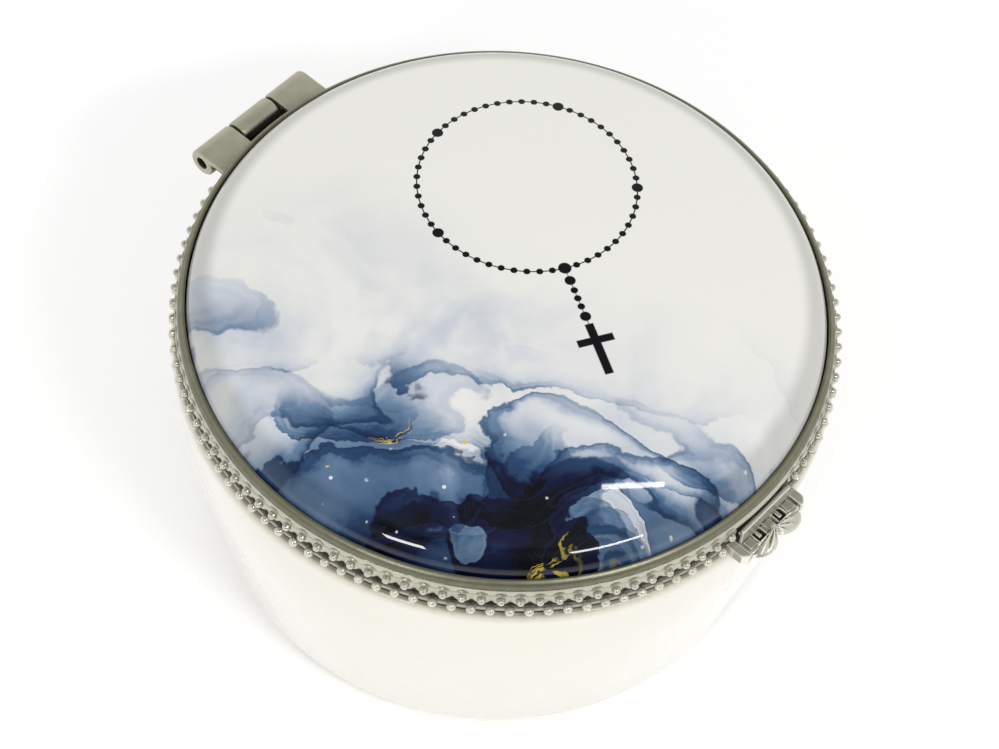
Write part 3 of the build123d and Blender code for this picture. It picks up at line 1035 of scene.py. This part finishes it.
class ROSARYBOX_OT_collars(bpy.types.Operator):
    """Turns the two collars, the skirt and the bezel"""

    bl_idname = "rosary_box.collars"
    bl_label = "Collars and bezel"

    def execute(self, context):
        size = context.scene.mount
        mouth = NECK_RADIUS - context.scene.porcelain.rim_land
        inner = COLLAR_RADIUS - size.wall
        edge = size.edge
        cup_collar = rounded(
            [
                (mouth, CUP_COLLAR_TOP, edge),
                (COLLAR_RADIUS, CUP_COLLAR_TOP, edge),
                (COLLAR_RADIUS, CUP_COLLAR_BOTTOM, edge),
                (inner, CUP_COLLAR_BOTTOM, edge),
                (inner, CUP_COLLAR_TOP - size.plate),
                (mouth, CUP_COLLAR_TOP - size.plate, edge),
            ]
        )
        piece = turned("cup_rim_collar", cup_collar, "collar")
        dressed(piece, "cup", "nickel_silver", "cup_collar")

        skirt_bottom = LID_COLLAR_TOP - size.skirt_rise
        hollow_bottom = PARTING + context.scene.clasp.strip_rise

        def lid_profile(hollow):
            """Lid collar, with its face set back by a hollow under the ridge."""
            return rounded(
                [
                    (mouth, LID_COLLAR_BOTTOM, edge),
                    (COLLAR_RADIUS, LID_COLLAR_BOTTOM, edge),
                    (COLLAR_RADIUS, hollow_bottom),
                    (COLLAR_RADIUS - hollow, hollow_bottom + edge),
                    (COLLAR_RADIUS - hollow, LID_COLLAR_TOP - 3 * edge),
                    (RIDGE_RADIUS, LID_COLLAR_TOP - 2 * edge),
                    (RIDGE_RADIUS, LID_COLLAR_TOP, edge),
                    (inner, LID_COLLAR_TOP),
                    (inner, LID_COLLAR_BOTTOM + size.plate),
                    (mouth, LID_COLLAR_BOTTOM + size.plate, edge),
                ]
            )

        front = skirt_ends(CLASP_HALF + size.bead_radius)
        back = skirt_ends(HINGE_HALF + 0.3 * MM)
        set_back = COLLAR_RADIUS - RIDGE_RADIUS
        pieces = [
            turned(
                "lid_ring",
                lid_profile(set_back),
                "collar",
                start=front - pi / 2,
                sweep=2 * (pi - front),
            ),
            turned(
                "lid_ring_front",
                lid_profile(size.recess),
                "collar",
                start=-front - pi / 2,
                sweep=2 * front,
            ),
        ]
        skirt = rounded(
            [
                (RIDGE_RADIUS - edge, skirt_bottom),
                (COLLAR_RADIUS + size.skirt_overhang, skirt_bottom, edge / 2),
                (RIDGE_RADIUS + 0.03 * MM, LID_COLLAR_TOP + 0.02 * MM, edge),
                (RIDGE_RADIUS - edge, LID_COLLAR_TOP - edge),
            ]
        )
        sweep = 2 * (pi - back)
        pieces.append(turned("skirt", skirt, "lobes", start=pi / 2 + back, sweep=sweep))
        piece = joined("lid_rim_collar", pieces)
        dressed(piece, "lid", "nickel_silver", "lid_collar")

        bezel_inner = DOME_RADIUS + 0.1 * MM
        lip = (bezel_inner + 0.22 * MM, BEZEL_TOP)
        base = (RIDGE_RADIUS, LID_COLLAR_TOP + 0.2 * MM)
        swell = Vector((lip[1] - base[1], base[0] - lip[0])).normalized() * 0.13 * MM
        band = [
            (
                base[0] + (lip[0] - base[0]) * share + swell.x * 4 * share * (1 - share),
                base[1] + (lip[1] - base[1]) * share + swell.y * 4 * share * (1 - share),
            )
            for share in (k / 10 for k in range(11))
        ]
        bezel = rounded(
            [
                (inner, DOME_SEAT),
                (inner, LID_COLLAR_TOP),
                (RIDGE_RADIUS, LID_COLLAR_TOP, edge / 2),
                *band[:-1],
                (*lip, edge),
                (bezel_inner, BEZEL_TOP, edge),
                (bezel_inner, DOME_SEAT),
            ]
        )
        dressed(turned("dome_bezel", bezel, "bezel"), "lid", "nickel_silver", "lid_bezel")
        return {"FINISHED"}


# ---- Beads ----

ROW_INPUTS = {
    "Bead": "NodeSocketObject",
    "Count": "NodeSocketInt",
    "Ring Radius": "NodeSocketFloat",
    "Height": "NodeSocketFloat",
    "First Angle": "NodeSocketFloat",
    "Step Angle": "NodeSocketFloat",
    "Finish": "NodeSocketMaterial",
}


def row_tree():
    """Tree that sets a bead at each step of both halves of a ring."""
    name = "Bead row"
    found = bpy.data.node_groups.get(name)
    if found:
        return found
    tree = bpy.data.node_groups.new(name, "GeometryNodeTree")
    tree.interface.new_socket("Geometry", in_out="OUTPUT", socket_type="NodeSocketGeometry")
    for label, kind in ROW_INPUTS.items():
        tree.interface.new_socket(label, in_out="INPUT", socket_type=kind)
    start = Signal(tree)
    entry = tree.nodes.new("NodeGroupInput")
    bead, count, radius, height, first, step, finish = (
        Signal(tree, entry.outputs[label]) for label in ROW_INPUTS
    )
    index = start.node("GeometryNodeInputIndex")
    half = (index / count + 0.001).floored()
    along = first + (index - half * count) * step
    angle = along + half * (pi - 2 * along)
    place = {"X": radius * angle.cosine(), "Y": radius * angle.sine(), "Z": height}
    place = start.node("ShaderNodeCombineXYZ", place)
    points = start.node("GeometryNodePoints", {"Count": count * 2, "Position": place})
    facing = start.node("ShaderNodeCombineXYZ", {"Z": angle})
    facing = start.node("FunctionNodeEulerToRotation", {"Euler": facing})
    bead = start.node("GeometryNodeObjectInfo", {"Object": bead}, output="Geometry")
    laid = {"Points": points, "Instance": bead, "Rotation": facing}
    laid = start.node("GeometryNodeInstanceOnPoints", laid)
    real = start.node("GeometryNodeRealizeInstances", {"Geometry": laid})
    done = start.node("GeometryNodeSetMaterial", {"Geometry": real, "Material": finish})
    tree.links.new(done.socket, tree.nodes.new("NodeGroupOutput").inputs[0])
    return tree


def bead_row(name, bead, first_arc, height, finish):
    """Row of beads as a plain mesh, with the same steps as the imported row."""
    size = bpy.context.scene.mount
    ring_radius = BEAD_TIP - size.bead_radius
    room = pi * ring_radius - first_arc - size.hinge_bead_gap
    values = {
        "Bead": bead,
        "Count": floor(room / size.bead_pitch) + 1,
        "Ring Radius": ring_radius,
        "Height": height,
        "First Angle": first_arc / ring_radius - pi / 2,
        "Step Angle": size.bead_pitch / ring_radius,
        "Finish": finish_named(finish),
    }
    tree = row_tree()
    source = linked(name, bpy.data.meshes.new(name))
    modifier = source.modifiers.new("Row", "NODES")
    modifier.node_group = tree
    for item in tree.interface.items_tree:
        if item.in_out == "INPUT":
            modifier[item.identifier] = values[item.name]
    mesh = baked(source)
    bpy.data.objects.remove(bead)
    return linked(name, mesh)


class ROSARYBOX_OT_beads(bpy.types.Operator):
    """Lays the two rows of beads and the strips that they stand on"""

    bl_idname = "rosary_box.beads"
    bl_label = "Beads"

    def execute(self, context):
        size = context.scene.mount
        radius, edge = size.bead_radius, size.edge
        ring_radius = BEAD_TIP - radius
        seat = COLLAR_RADIUS - ring_radius
        face = seat + size.strip_thickness
        front = COLLAR_RADIUS + size.strip_thickness
        cup_start = ring_radius * asin((CATCH_HALF + size.bead_to_catch + radius) / ring_radius)
        lid_start = cup_start - size.bead_pitch / 2
        back_gap = (size.hinge_bead_gap - radius) / ring_radius

        knob = arc((0, 0), radius, pi / 2, -0.25, 5)
        plain = [*knob, (radius * 0.86, seat), (0, seat)]
        plain_strip = [
            (COLLAR_RADIUS, CUP_BEAD_HEIGHT + 0.5 * MM),
            (front, CUP_BEAD_HEIGHT + 0.4 * MM, edge),
            (front, CUP_BEAD_HEIGHT - 0.32 * MM, edge),
            (COLLAR_RADIUS, CUP_BEAD_HEIGHT - 0.42 * MM),
        ]

        # Each upper bead stands in a groove, in a round lobe of the skirt.
        lobe, groove = size.lobe_radius, size.groove_radius
        upper = radius * 0.84
        lobed = [
            *arc((0, 0), upper, pi / 2, 0.3, 5),
            (upper * 1.02, face - 0.07 * MM),
            (groove - 0.02 * MM, face - 0.07 * MM),
            (groove + 0.04 * MM, face),
            (lobe - 0.1 * MM, face),
            (lobe, face - 0.1 * MM),
            (lobe, seat),
            (0, seat),
        ]
        skirt_bottom = LID_COLLAR_TOP - size.skirt_rise
        lobed_strip = [
            (COLLAR_RADIUS, skirt_bottom + edge),
            (COLLAR_RADIUS + size.skirt_overhang, skirt_bottom + edge),
            (front + 0.01 * MM, skirt_bottom - 0.1 * MM, 0.05 * MM),
            (front, LID_BEAD_HEIGHT - 0.3 * MM, edge),
            (COLLAR_RADIUS, LID_BEAD_HEIGHT - 0.3 * MM),
        ]

        cup_gap, lid_gap = (cup_start - radius) / ring_radius, skirt_ends(CLASP_HALF + radius)
        for body, profile, first_arc, height, finish, strip, front_gap in (
            ("cup", plain, cup_start, CUP_BEAD_HEIGHT, "beads", plain_strip, cup_gap),
            ("lid", lobed, lid_start, LID_BEAD_HEIGHT, "lobes", lobed_strip, lid_gap),
        ):
            bead = turned("bead", profile, "metal", segments=size.bead_sides)
            bead.data.transform(Matrix.Rotation(pi / 2, 4, "Y"))
            row = bead_row(f"{body}_beads", bead, first_arc, height, finish)
            strips = both_sides("strip", rounded(strip, 3), finish, front_gap, back_gap)
            piece = joined(f"{body}_bead_strip", [row, *strips])
            dressed(piece, body, "nickel_silver", f"{body}_bead_row")
        return {"FINISHED"}


# ---- Hinge ----


class ROSARYBOX_OT_hinge(bpy.types.Operator):
    """Makes the three knuckles and finishes the pin"""

    bl_idname = "rosary_box.hinge"
    bl_label = "Hinge"

    def knuckle(self, name, low, high, leaf_side, bore, size):
        """Rolled knuckle between two places along the pin, with its leaf on one side."""
        root = COLLAR_RADIUS - 0.02 * MM - size.edge
        edge_shade, round_bore = 24, 32  # steps in half a turn, and in a whole one
        outer = [
            (PIN_Y + KNUCKLE_RADIUS * cos(a), PIN_Z + leaf_side * KNUCKLE_RADIUS * sin(a))
            for a in (pi / 2 - k * pi / edge_shade for k in range(edge_shade * 3 // 2 + 1))
        ]
        leaf_top = PIN_Z + leaf_side * KNUCKLE_RADIUS
        leaf_under = leaf_top - leaf_side * size.leaf
        under = [
            (x, z) for x, z in outer if not (x < PIN_Y and (z - leaf_under) * leaf_side > 0)
        ]
        rise = abs(leaf_under - PIN_Z)
        meet = PIN_Y - sqrt(KNUCKLE_RADIUS**2 - rise**2)
        depth = sqrt(root**2 - max(abs(low), abs(high)) ** 2)
        outline = [(depth, leaf_top), *under, (meet, leaf_under), (depth, leaf_under)]
        angles = [2 * pi * k / round_bore for k in range(round_bore)]
        hole = [(PIN_Y + bore * cos(a), PIN_Z + bore * sin(a)) for a in angles]
        upright = Matrix(((0, 0, 1, 0), (1, 0, 0, 0), (0, 1, 0, 0), (0, 0, 0, 1)))
        placing = Matrix.Translation(((low + high) / 2, 0, 0)) @ upright
        return plate(name, [outline, hole], high - low, size.edge, placing, "hinge")

    def execute(self, context):
        size = context.scene.hinge
        running = PIN_RADIUS + 0.05 * MM
        for name, low, high in (
            ("left", -HINGE_HALF, -HINGE_INNER),
            ("right", HINGE_INNER, HINGE_HALF),
        ):
            piece = self.knuckle(f"hinge_knuckle_{name}", low, high, 1, PIN_RADIUS, size)
            dressed(piece, "lid", "nickel_silver", f"lid_knuckle_{name}")
        piece = self.knuckle("hinge_knuckle_cup", -MIDDLE_HALF, MIDDLE_HALF, -1, running, size)
        dressed(piece, "cup", "nickel_silver", "cup_knuckle")
        refinished("hinge_pin", "pin")
        return {"FINISHED"}


# ---- Clasp and catch ----

CLASP_TUMBLING = 2  # rounds, few so that the shell's ribs stay crisp
CATCH_TUMBLING = 10


class ROSARYBOX_OT_clasp(bpy.types.Operator):
    """Makes the slotted band and the shell of the clasp"""

    bl_idname = "rosary_box.clasp"
    bl_label = "Clasp"


    def lobe(self, root, side, size):
        """Puffed half of the shell, with ribs that fan out from the boss."""
        around, outwards = 44, 12  # steps of the fan
        work = bmesh.new()
        for face in (1, -1):
            rows = []
            for j in range(around + 1):
                turned_by = pi - pi * 1.06 * j / around
                edge = Vector(
                    (
                        side * (size.lobe_middle + size.lobe_half * cos(turned_by)),
                        root.y - size.lobe_reach * sin(turned_by),
                        root.z - size.lobe_drop,
                    )
                )
                full = min(1.0, 5 * sin(pi * j / around)) ** 0.5
                rib = 0.5 + 0.5 * cos(2 * pi * size.ribs * j / around)
                row = []
                for i in range(outwards + 1):
                    share = i / outwards
                    puff = size.lobe_puff * sqrt(1 - share**4) * full
                    if face > 0:
                        puff += size.rib_rise * rib * full * sin(pi * share**0.8)
                    fall = size.lobe_drop * share**1.5
                    place = root.lerp(edge, share)
                    row.append(work.verts.new((place.x, place.y, root.z - fall + face * puff)))
                rows.append(row)
            for first, second in zip(rows, rows[1:]):
                for i in range(outwards):
                    work.faces.new((first[i], first[i + 1], second[i + 1], second[i]))
        bmesh.ops.remove_doubles(work, verts=work.verts, dist=10 * TOUCHING)
        return as_object("lobe", closed_mesh("lobe", work), "clasp")

    def execute(self, context):
        size = context.scene.clasp
        edge = context.scene.mount.edge
        back = COLLAR_RADIUS + size.stand_off
        strip_front = back + size.strip
        reach = COLLAR_RADIUS + size.band_reach
        top = PARTING - size.drop
        middle = strip_front + 0.04 * MM + size.slot_length / 2

        def slot(place):
            """U-shaped slot round a tongue, with its closed end outwards."""
            wide, narrow = size.slot_width / 2, size.tongue_width / 2
            near = -(middle - size.slot_length / 2)
            far = -(middle + size.slot_length / 2)
            tip = near - size.tongue_length
            return rounded(
                [
                    (place - wide, near),
                    (place - wide, far, 0.2 * MM),
                    (place + wide, far, 0.2 * MM),
                    (place + wide, near),
                    (place + narrow, near),
                    (place + narrow, tip, 0.1 * MM),
                    (place - narrow, tip, 0.1 * MM),
                    (place - narrow, near),
                ],
                4,
            )

        depth = size.slot_depth
        outer = box_outline(CLASP_HALF, reach, back, 0.15 * MM)
        places = (-size.slot_place, size.slot_place)
        slots = [slot(place) for place in places]
        in_slots = raised(top - depth / 2)
        floor_height = raised(top - (size.band + depth) / 2)
        pieces = [
            plate("band", [outer, *slots], depth, edge, in_slots),
            plate("floor", [outer], size.band - depth, edge, floor_height),
        ]
        root_depth = 0.2 * MM  # of the raised parts, in the band

        def square(place, half_width, half_length, fillet):
            """Rounded rectangle round a place on the band."""
            far, near = middle + half_length, middle - half_length
            return box_outline(half_width, far, near, fillet, place)

        def on_band(name, outlines, rise, rounding):
            """Raised part of the band."""
            thickness = rise + root_depth
            placing = raised(top + rise - thickness / 2)
            pieces.append(plate(name, outlines, thickness, rounding, placing))

        # Painted shade: thin dark sheets laid in the slots.
        slot_shades = []
        wide, tall, rim = size.slot_width / 2, size.slot_length / 2, size.rim_width
        for place in places:
            hole = square(place, wide, tall, 0.2 * MM)
            round_it = square(place, wide + rim, tall + rim, 0.3 * MM)
            on_band("rim", [round_it, hole], size.rim_rise, edge / 2)
            black = square(place, wide + 0.1 * MM, tall + 0.1 * MM, 0.2 * MM)
            slot_shades.append(plate("black", [black], 0.04 * MM, 0.01 * MM, in_slots, "black"))
        for place in (-size.pad_place, 0.0, size.pad_place):
            outline = square(place, size.pad / 2, size.pad / 2, 0.1 * MM)
            on_band("pad", [outline], size.pad_rise, edge)

        strip_top = PARTING + size.strip_rise
        strip = box_outline(CLASP_HALF, strip_front, back, 0.08 * MM)
        tall = strip_top - top + 0.2 * MM
        foot = box_outline(CLASP_HALF, back + 0.05 * MM, COLLAR_RADIUS - 0.05 * MM)
        foot_place = raised(LID_COLLAR_BOTTOM + size.foot_height / 2)
        pieces += [
            plate("strip", [strip], tall, edge, raised(strip_top - tall / 2)),
            plate("foot", [foot], size.foot_height, edge / 2, foot_place),
        ]

        root = Vector((0, -(reach - 0.28 * MM), top))
        pieces += [self.lobe(root, side, size) for side in (-1, 1)]
        ball = [(abs(r), z) for r, z in arc((0, 0), size.boss, -pi / 2, pi / 2, 12)]
        boss = turned("boss", ball, "clasp", segments=24)
        boss.data.transform(Matrix.Translation(root))
        casting = cast("casting", [*pieces, boss], size.voxel, CLASP_TUMBLING, "clasp")
        piece = joined("shell_clasp", [casting, *slot_shades])
        dressed(piece, "lid", "nickel_silver", "lid_clasp")
        return {"FINISHED"}


class ROSARYBOX_OT_catch(bpy.types.Operator):
    """Makes the catch plate that the clasp drops into"""

    bl_idname = "rosary_box.catch"
    bl_label = "Catch plate"

    def execute(self, context):
        size = context.scene.clasp
        edge = context.scene.mount.edge
        pocket = CLASP_HALF + size.clearance
        pieces = []
        for side in (-1, 1):
            low, high = sorted((side * pocket, side * CATCH_HALF))
            depth = sqrt(COLLAR_RADIUS**2 - CATCH_HALF**2) - 0.1 * MM
            cut_low = size.corner if side < 0 else edge
            cut_high = size.corner if side > 0 else edge
            corners = [
                (low, -depth),
                (low, -CATCH_FRONT + cut_low, edge),
                (low + cut_low, -CATCH_FRONT, edge),
                (high - cut_high, -CATCH_FRONT, edge),
                (high, -CATCH_FRONT + cut_high, edge),
                (high, -depth),
            ]
            tall = CATCH_TOP - CATCH_BOTTOM
            placing = raised((CATCH_TOP + CATCH_BOTTOM) / 2)
            pieces.append(plate("block", [rounded(corners, 3)], tall, edge, placing))
        inner = BELLY_RADIUS + size.shelf_back
        bar = box_outline(pocket + 0.2 * MM, CATCH_FRONT, inner, 0.05 * MM)
        placing = raised(CATCH_BOTTOM + size.shelf / 2)
        pieces.append(plate("bar", [bar], size.shelf, edge, placing))
        piece = cast("catch", pieces, size.voxel, CATCH_TUMBLING, "clasp")
        dressed(piece, "cup", "nickel_silver", "catch_plate")
        return {"FINISHED"}


class ROSARYBOX_OT_cement(bpy.types.Operator):
    """Finishes the two beds of cement"""

    bl_idname = "rosary_box.cement"
    bl_label = "Cement"

    def execute(self, context):
        for node in ("cup_cement", "lid_cement"):
            refinished(node, "cement")
        return {"FINISHED"}


# ---- Stage ----


def towards(azimuth, elevation):
    """Unit vector at an angle round the box and above the table."""
    level = cos(elevation)
    return Vector((cos(azimuth) * level, sin(azimuth) * level, sin(elevation)))


def stood(name, data, place, right, up, back):
    """Camera or lamp at a place, which looks away from its back."""
    made = linked(name, data)
    made.matrix_world = (
        Matrix.Translation(place) @ Matrix((right, up, back)).transposed().to_4x4()
    )
    return made


def sheet(name, points, faces):
    """Open surface of the stage."""
    mesh = bpy.data.meshes.new(name)
    mesh.from_pydata(points, [], faces)
    return linked(name, mesh)


# Strip lamps: each end as an angle round from the camera and an angle up from the lid, in
# degrees, and the height in metres.
LAMPS = {
    "left lamp": ((-29.0, 31.7), (-16.9, 34.6), 0.066),
    "right lamp": ((29.3, 46.7), (52.6, 43.6), 0.05),
    "far lamp": ((162.4, 66.9), (154.6, 64.9), 0.003),
}
# Tent: angle up in degrees and the setting that gives the card's colour there.
CARDS = ((40, "low_card"), (54, "high_card"), (66, "high_card"), (78, "top_card"))


class ROSARYBOX_OT_stage(bpy.types.Operator):
    """Sets the camera, the lamps, the floor and the dark cards"""

    bl_idname = "rosary_box.stage"
    bl_label = "Stage"

    def camera(self, scene, size):
        """Camera at the photograph's angle."""
        back = towards(size.heading, size.elevation)
        level = Vector((-sin(size.heading), cos(size.heading), 0))
        upwards = back.cross(level)
        right = cos(size.roll) * level + sin(size.roll) * upwards
        up = -sin(size.roll) * level + cos(size.roll) * upwards
        data = bpy.data.cameras.new("camera")
        data.lens = size.lens
        data.clip_start = 0.01
        place = Vector(size.target) + back * size.distance
        scene.camera = stood("camera", data, place, right, up, back)

    def lamp(self, name, start, end, height, size):
        """Strip lamp between two places."""
        ends = [
            towards(size.heading + radians(azimuth), radians(elevation)) * size.lamp_distance
            for azimuth, elevation in (start, end)
        ]
        along = ends[1] - ends[0]
        back = (ends[0] + ends[1]).normalized()
        across = back.cross(along.normalized())
        data = bpy.data.lights.new(name, "AREA")
        data.shape = "RECTANGLE"
        data.size, data.size_y = along.length, height
        data.energy = size.lamp * pi * along.length * height
        place = (ends[0] + ends[1]) / 2 + Vector((0, 0, PARTING))
        stood(name, data, place, across.cross(back), across, back)

    def seen(self, start):
        """1 for rays from the camera, and for those that metal and glass send on."""
        camera, glossy, passed = (
            start.node("ShaderNodeLightPath", output=f"Is {kind} Ray")
            for kind in ("Camera", "Glossy", "Transmission")
        )
        return camera.larger(glossy).larger(passed)

    def tent(self, size):
        """Round tent that only reflections show: grey overhead and dark behind the camera."""
        around, rings = 48, 12
        points = [
            (abs(radius) * cos(2 * pi * k / around), abs(radius) * sin(2 * pi * k / around), height)
            for radius, height in arc((0, 0), size.tent, 0, pi / 2, rings)
            for k in range(around)
        ]
        faces = []
        for first in range(0, around * rings, around):
            for k in range(around):
                low, right = first + k, first + (k + 1) % around
                faces.append((low, right, right + around, low + around))
        made = sheet("tent", points, faces)
        material, start = new_finish("tent")
        place = own_place(start)
        height = parts_of(place)[2] * (MM / size.tent)
        stops = [(0.0, (0.9, 0.9, 0.88))]
        stops += [(sin(radians(angle)), getattr(size, card)) for angle, card in CARDS]
        shade = height.node("ShaderNodeValToRGB", {"Fac": height}, {"stops": stops})
        eye = tuple(towards(size.heading, size.elevation) * (MM / size.tent))
        along = vectors("DOT_PRODUCT", place, eye, "Value")
        level = vectors("MULTIPLY", place, (1.0, 1.0, 0.0))
        facing = vectors("DOT_PRODUCT", level, tuple(towards(size.heading, 0)), "Value")
        round_it = (1 - height * height).larger(0.001) ** 0.5 * (size.tent / MM)
        near = (facing / round_it).step(0.5, 0.8) * height.step(0.03, 0.12)
        near = near * (1 - height.step(sin(radians(60)), sin(radians(68))))
        shade = mixed(near.larger(along.step(0.90, 0.97)), shade, size.eye_card)
        glow = start.node("ShaderNodeEmission", {"Color": shade, "Strength": 1.0})
        start.node("ShaderNodeOutputMaterial", {"Surface": glow})
        made.data.materials.append(material)
        made.visible_camera = made.visible_diffuse = made.visible_shadow = False
        made.visible_transmission = False

    def floor(self, size):
        """Pale table, which the camera sees as white."""
        reach = 3.0
        corners = ((-reach, -reach, 0), (reach, -reach, 0), (reach, reach, 0), (-reach, reach, 0))
        table = sheet("floor", corners, [(0, 1, 2, 3)])
        material, start = new_finish("table")
        speckle = noise(own_place(start), 0.02, 2.0)
        seen = self.seen(start)
        surface = mixed(speckle, size.floor, [part * 0.985 for part in size.floor])
        coat(
            start,
            Base_Color=mixed(seen, surface, (1.0, 1.0, 1.0)),
            Roughness=0.8,
            Specular_IOR_Level=0.0,
            Emission_Color=mixed(seen, (0, 0, 0), (size.floor_lift,) * 3),
            Emission_Strength=1.0,
        )
        table.data.materials.append(material)

    def execute(self, context):
        scene = context.scene
        size = scene.stage
        self.camera(scene, size)
        world = bpy.data.worlds.new("room")
        scene.world = world
        world.use_nodes = True
        world.node_tree.nodes.clear()
        start = Signal(world.node_tree)
        level = size.sky + self.seen(start) * (1 - size.sky)
        sky = start.node("ShaderNodeBackground", {"Color": (1, 1, 1, 1), "Strength": level})
        start.node("ShaderNodeOutputWorld", {"Surface": sky})
        for name, (first, last, height) in LAMPS.items():
            self.lamp(name, first, last, height, size)
        self.floor(size)
        self.tent(size)
        scene.view_settings.view_transform = "Standard"
        return {"FINISHED"}


# ---- Add-on ----

STEPS = (
    ROSARYBOX_OT_stage,
    ROSARYBOX_OT_cup,
    ROSARYBOX_OT_dome,
    ROSARYBOX_OT_collars,
    ROSARYBOX_OT_beads,
    ROSARYBOX_OT_hinge,
    ROSARYBOX_OT_clasp,
    ROSARYBOX_OT_catch,
    ROSARYBOX_OT_cement,
)

SETTINGS = {
    "porcelain": PorcelainSettings,
    "print_look": PrintSettings,
    "mount": MountSettings,
    "hinge": HingeSettings,
    "clasp": ClaspSettings,
    "stage": StageSettings,
}


class ROSARYBOX_PT_panel(bpy.types.Panel):
    """Lists the steps in the sidebar"""

    bl_idname = "ROSARYBOX_PT_panel"
    bl_label = "Rosary Box"
    bl_space_type = "VIEW_3D"
    bl_region_type = "UI"
    bl_category = "Rosary Box"

    def draw(self, context):
        for step in STEPS:
            self.layout.operator(step.bl_idname)
        for name, group in SETTINGS.items():
            box = self.layout.box()
            box.label(text=name.replace("_", " ").capitalize())
            for prop in group.__annotations__:
                box.prop(getattr(context.scene, name), prop)


def register():
    """Adds the classes and the settings."""
    for group in SETTINGS.values():
        bpy.utils.register_class(group)
    for step in STEPS:
        bpy.utils.register_class(step)
    bpy.utils.register_class(ROSARYBOX_PT_panel)
    for name, group in SETTINGS.items():
        setattr(bpy.types.Scene, name, PointerProperty(type=group))


def unregister():
    """Takes the classes and the settings away."""
    for name in SETTINGS:
        delattr(bpy.types.Scene, name)
    bpy.utils.unregister_class(ROSARYBOX_PT_panel)
    for step in reversed(STEPS):
        bpy.utils.unregister_class(step)
    for group in SETTINGS.values():
        bpy.utils.unregister_class(group)


def main():
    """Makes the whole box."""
    register()
    for step in STEPS:
        group, name = step.bl_idname.split(".")
        getattr(getattr(bpy.ops, group), name)()


if __name__ == "__main__":
    main()
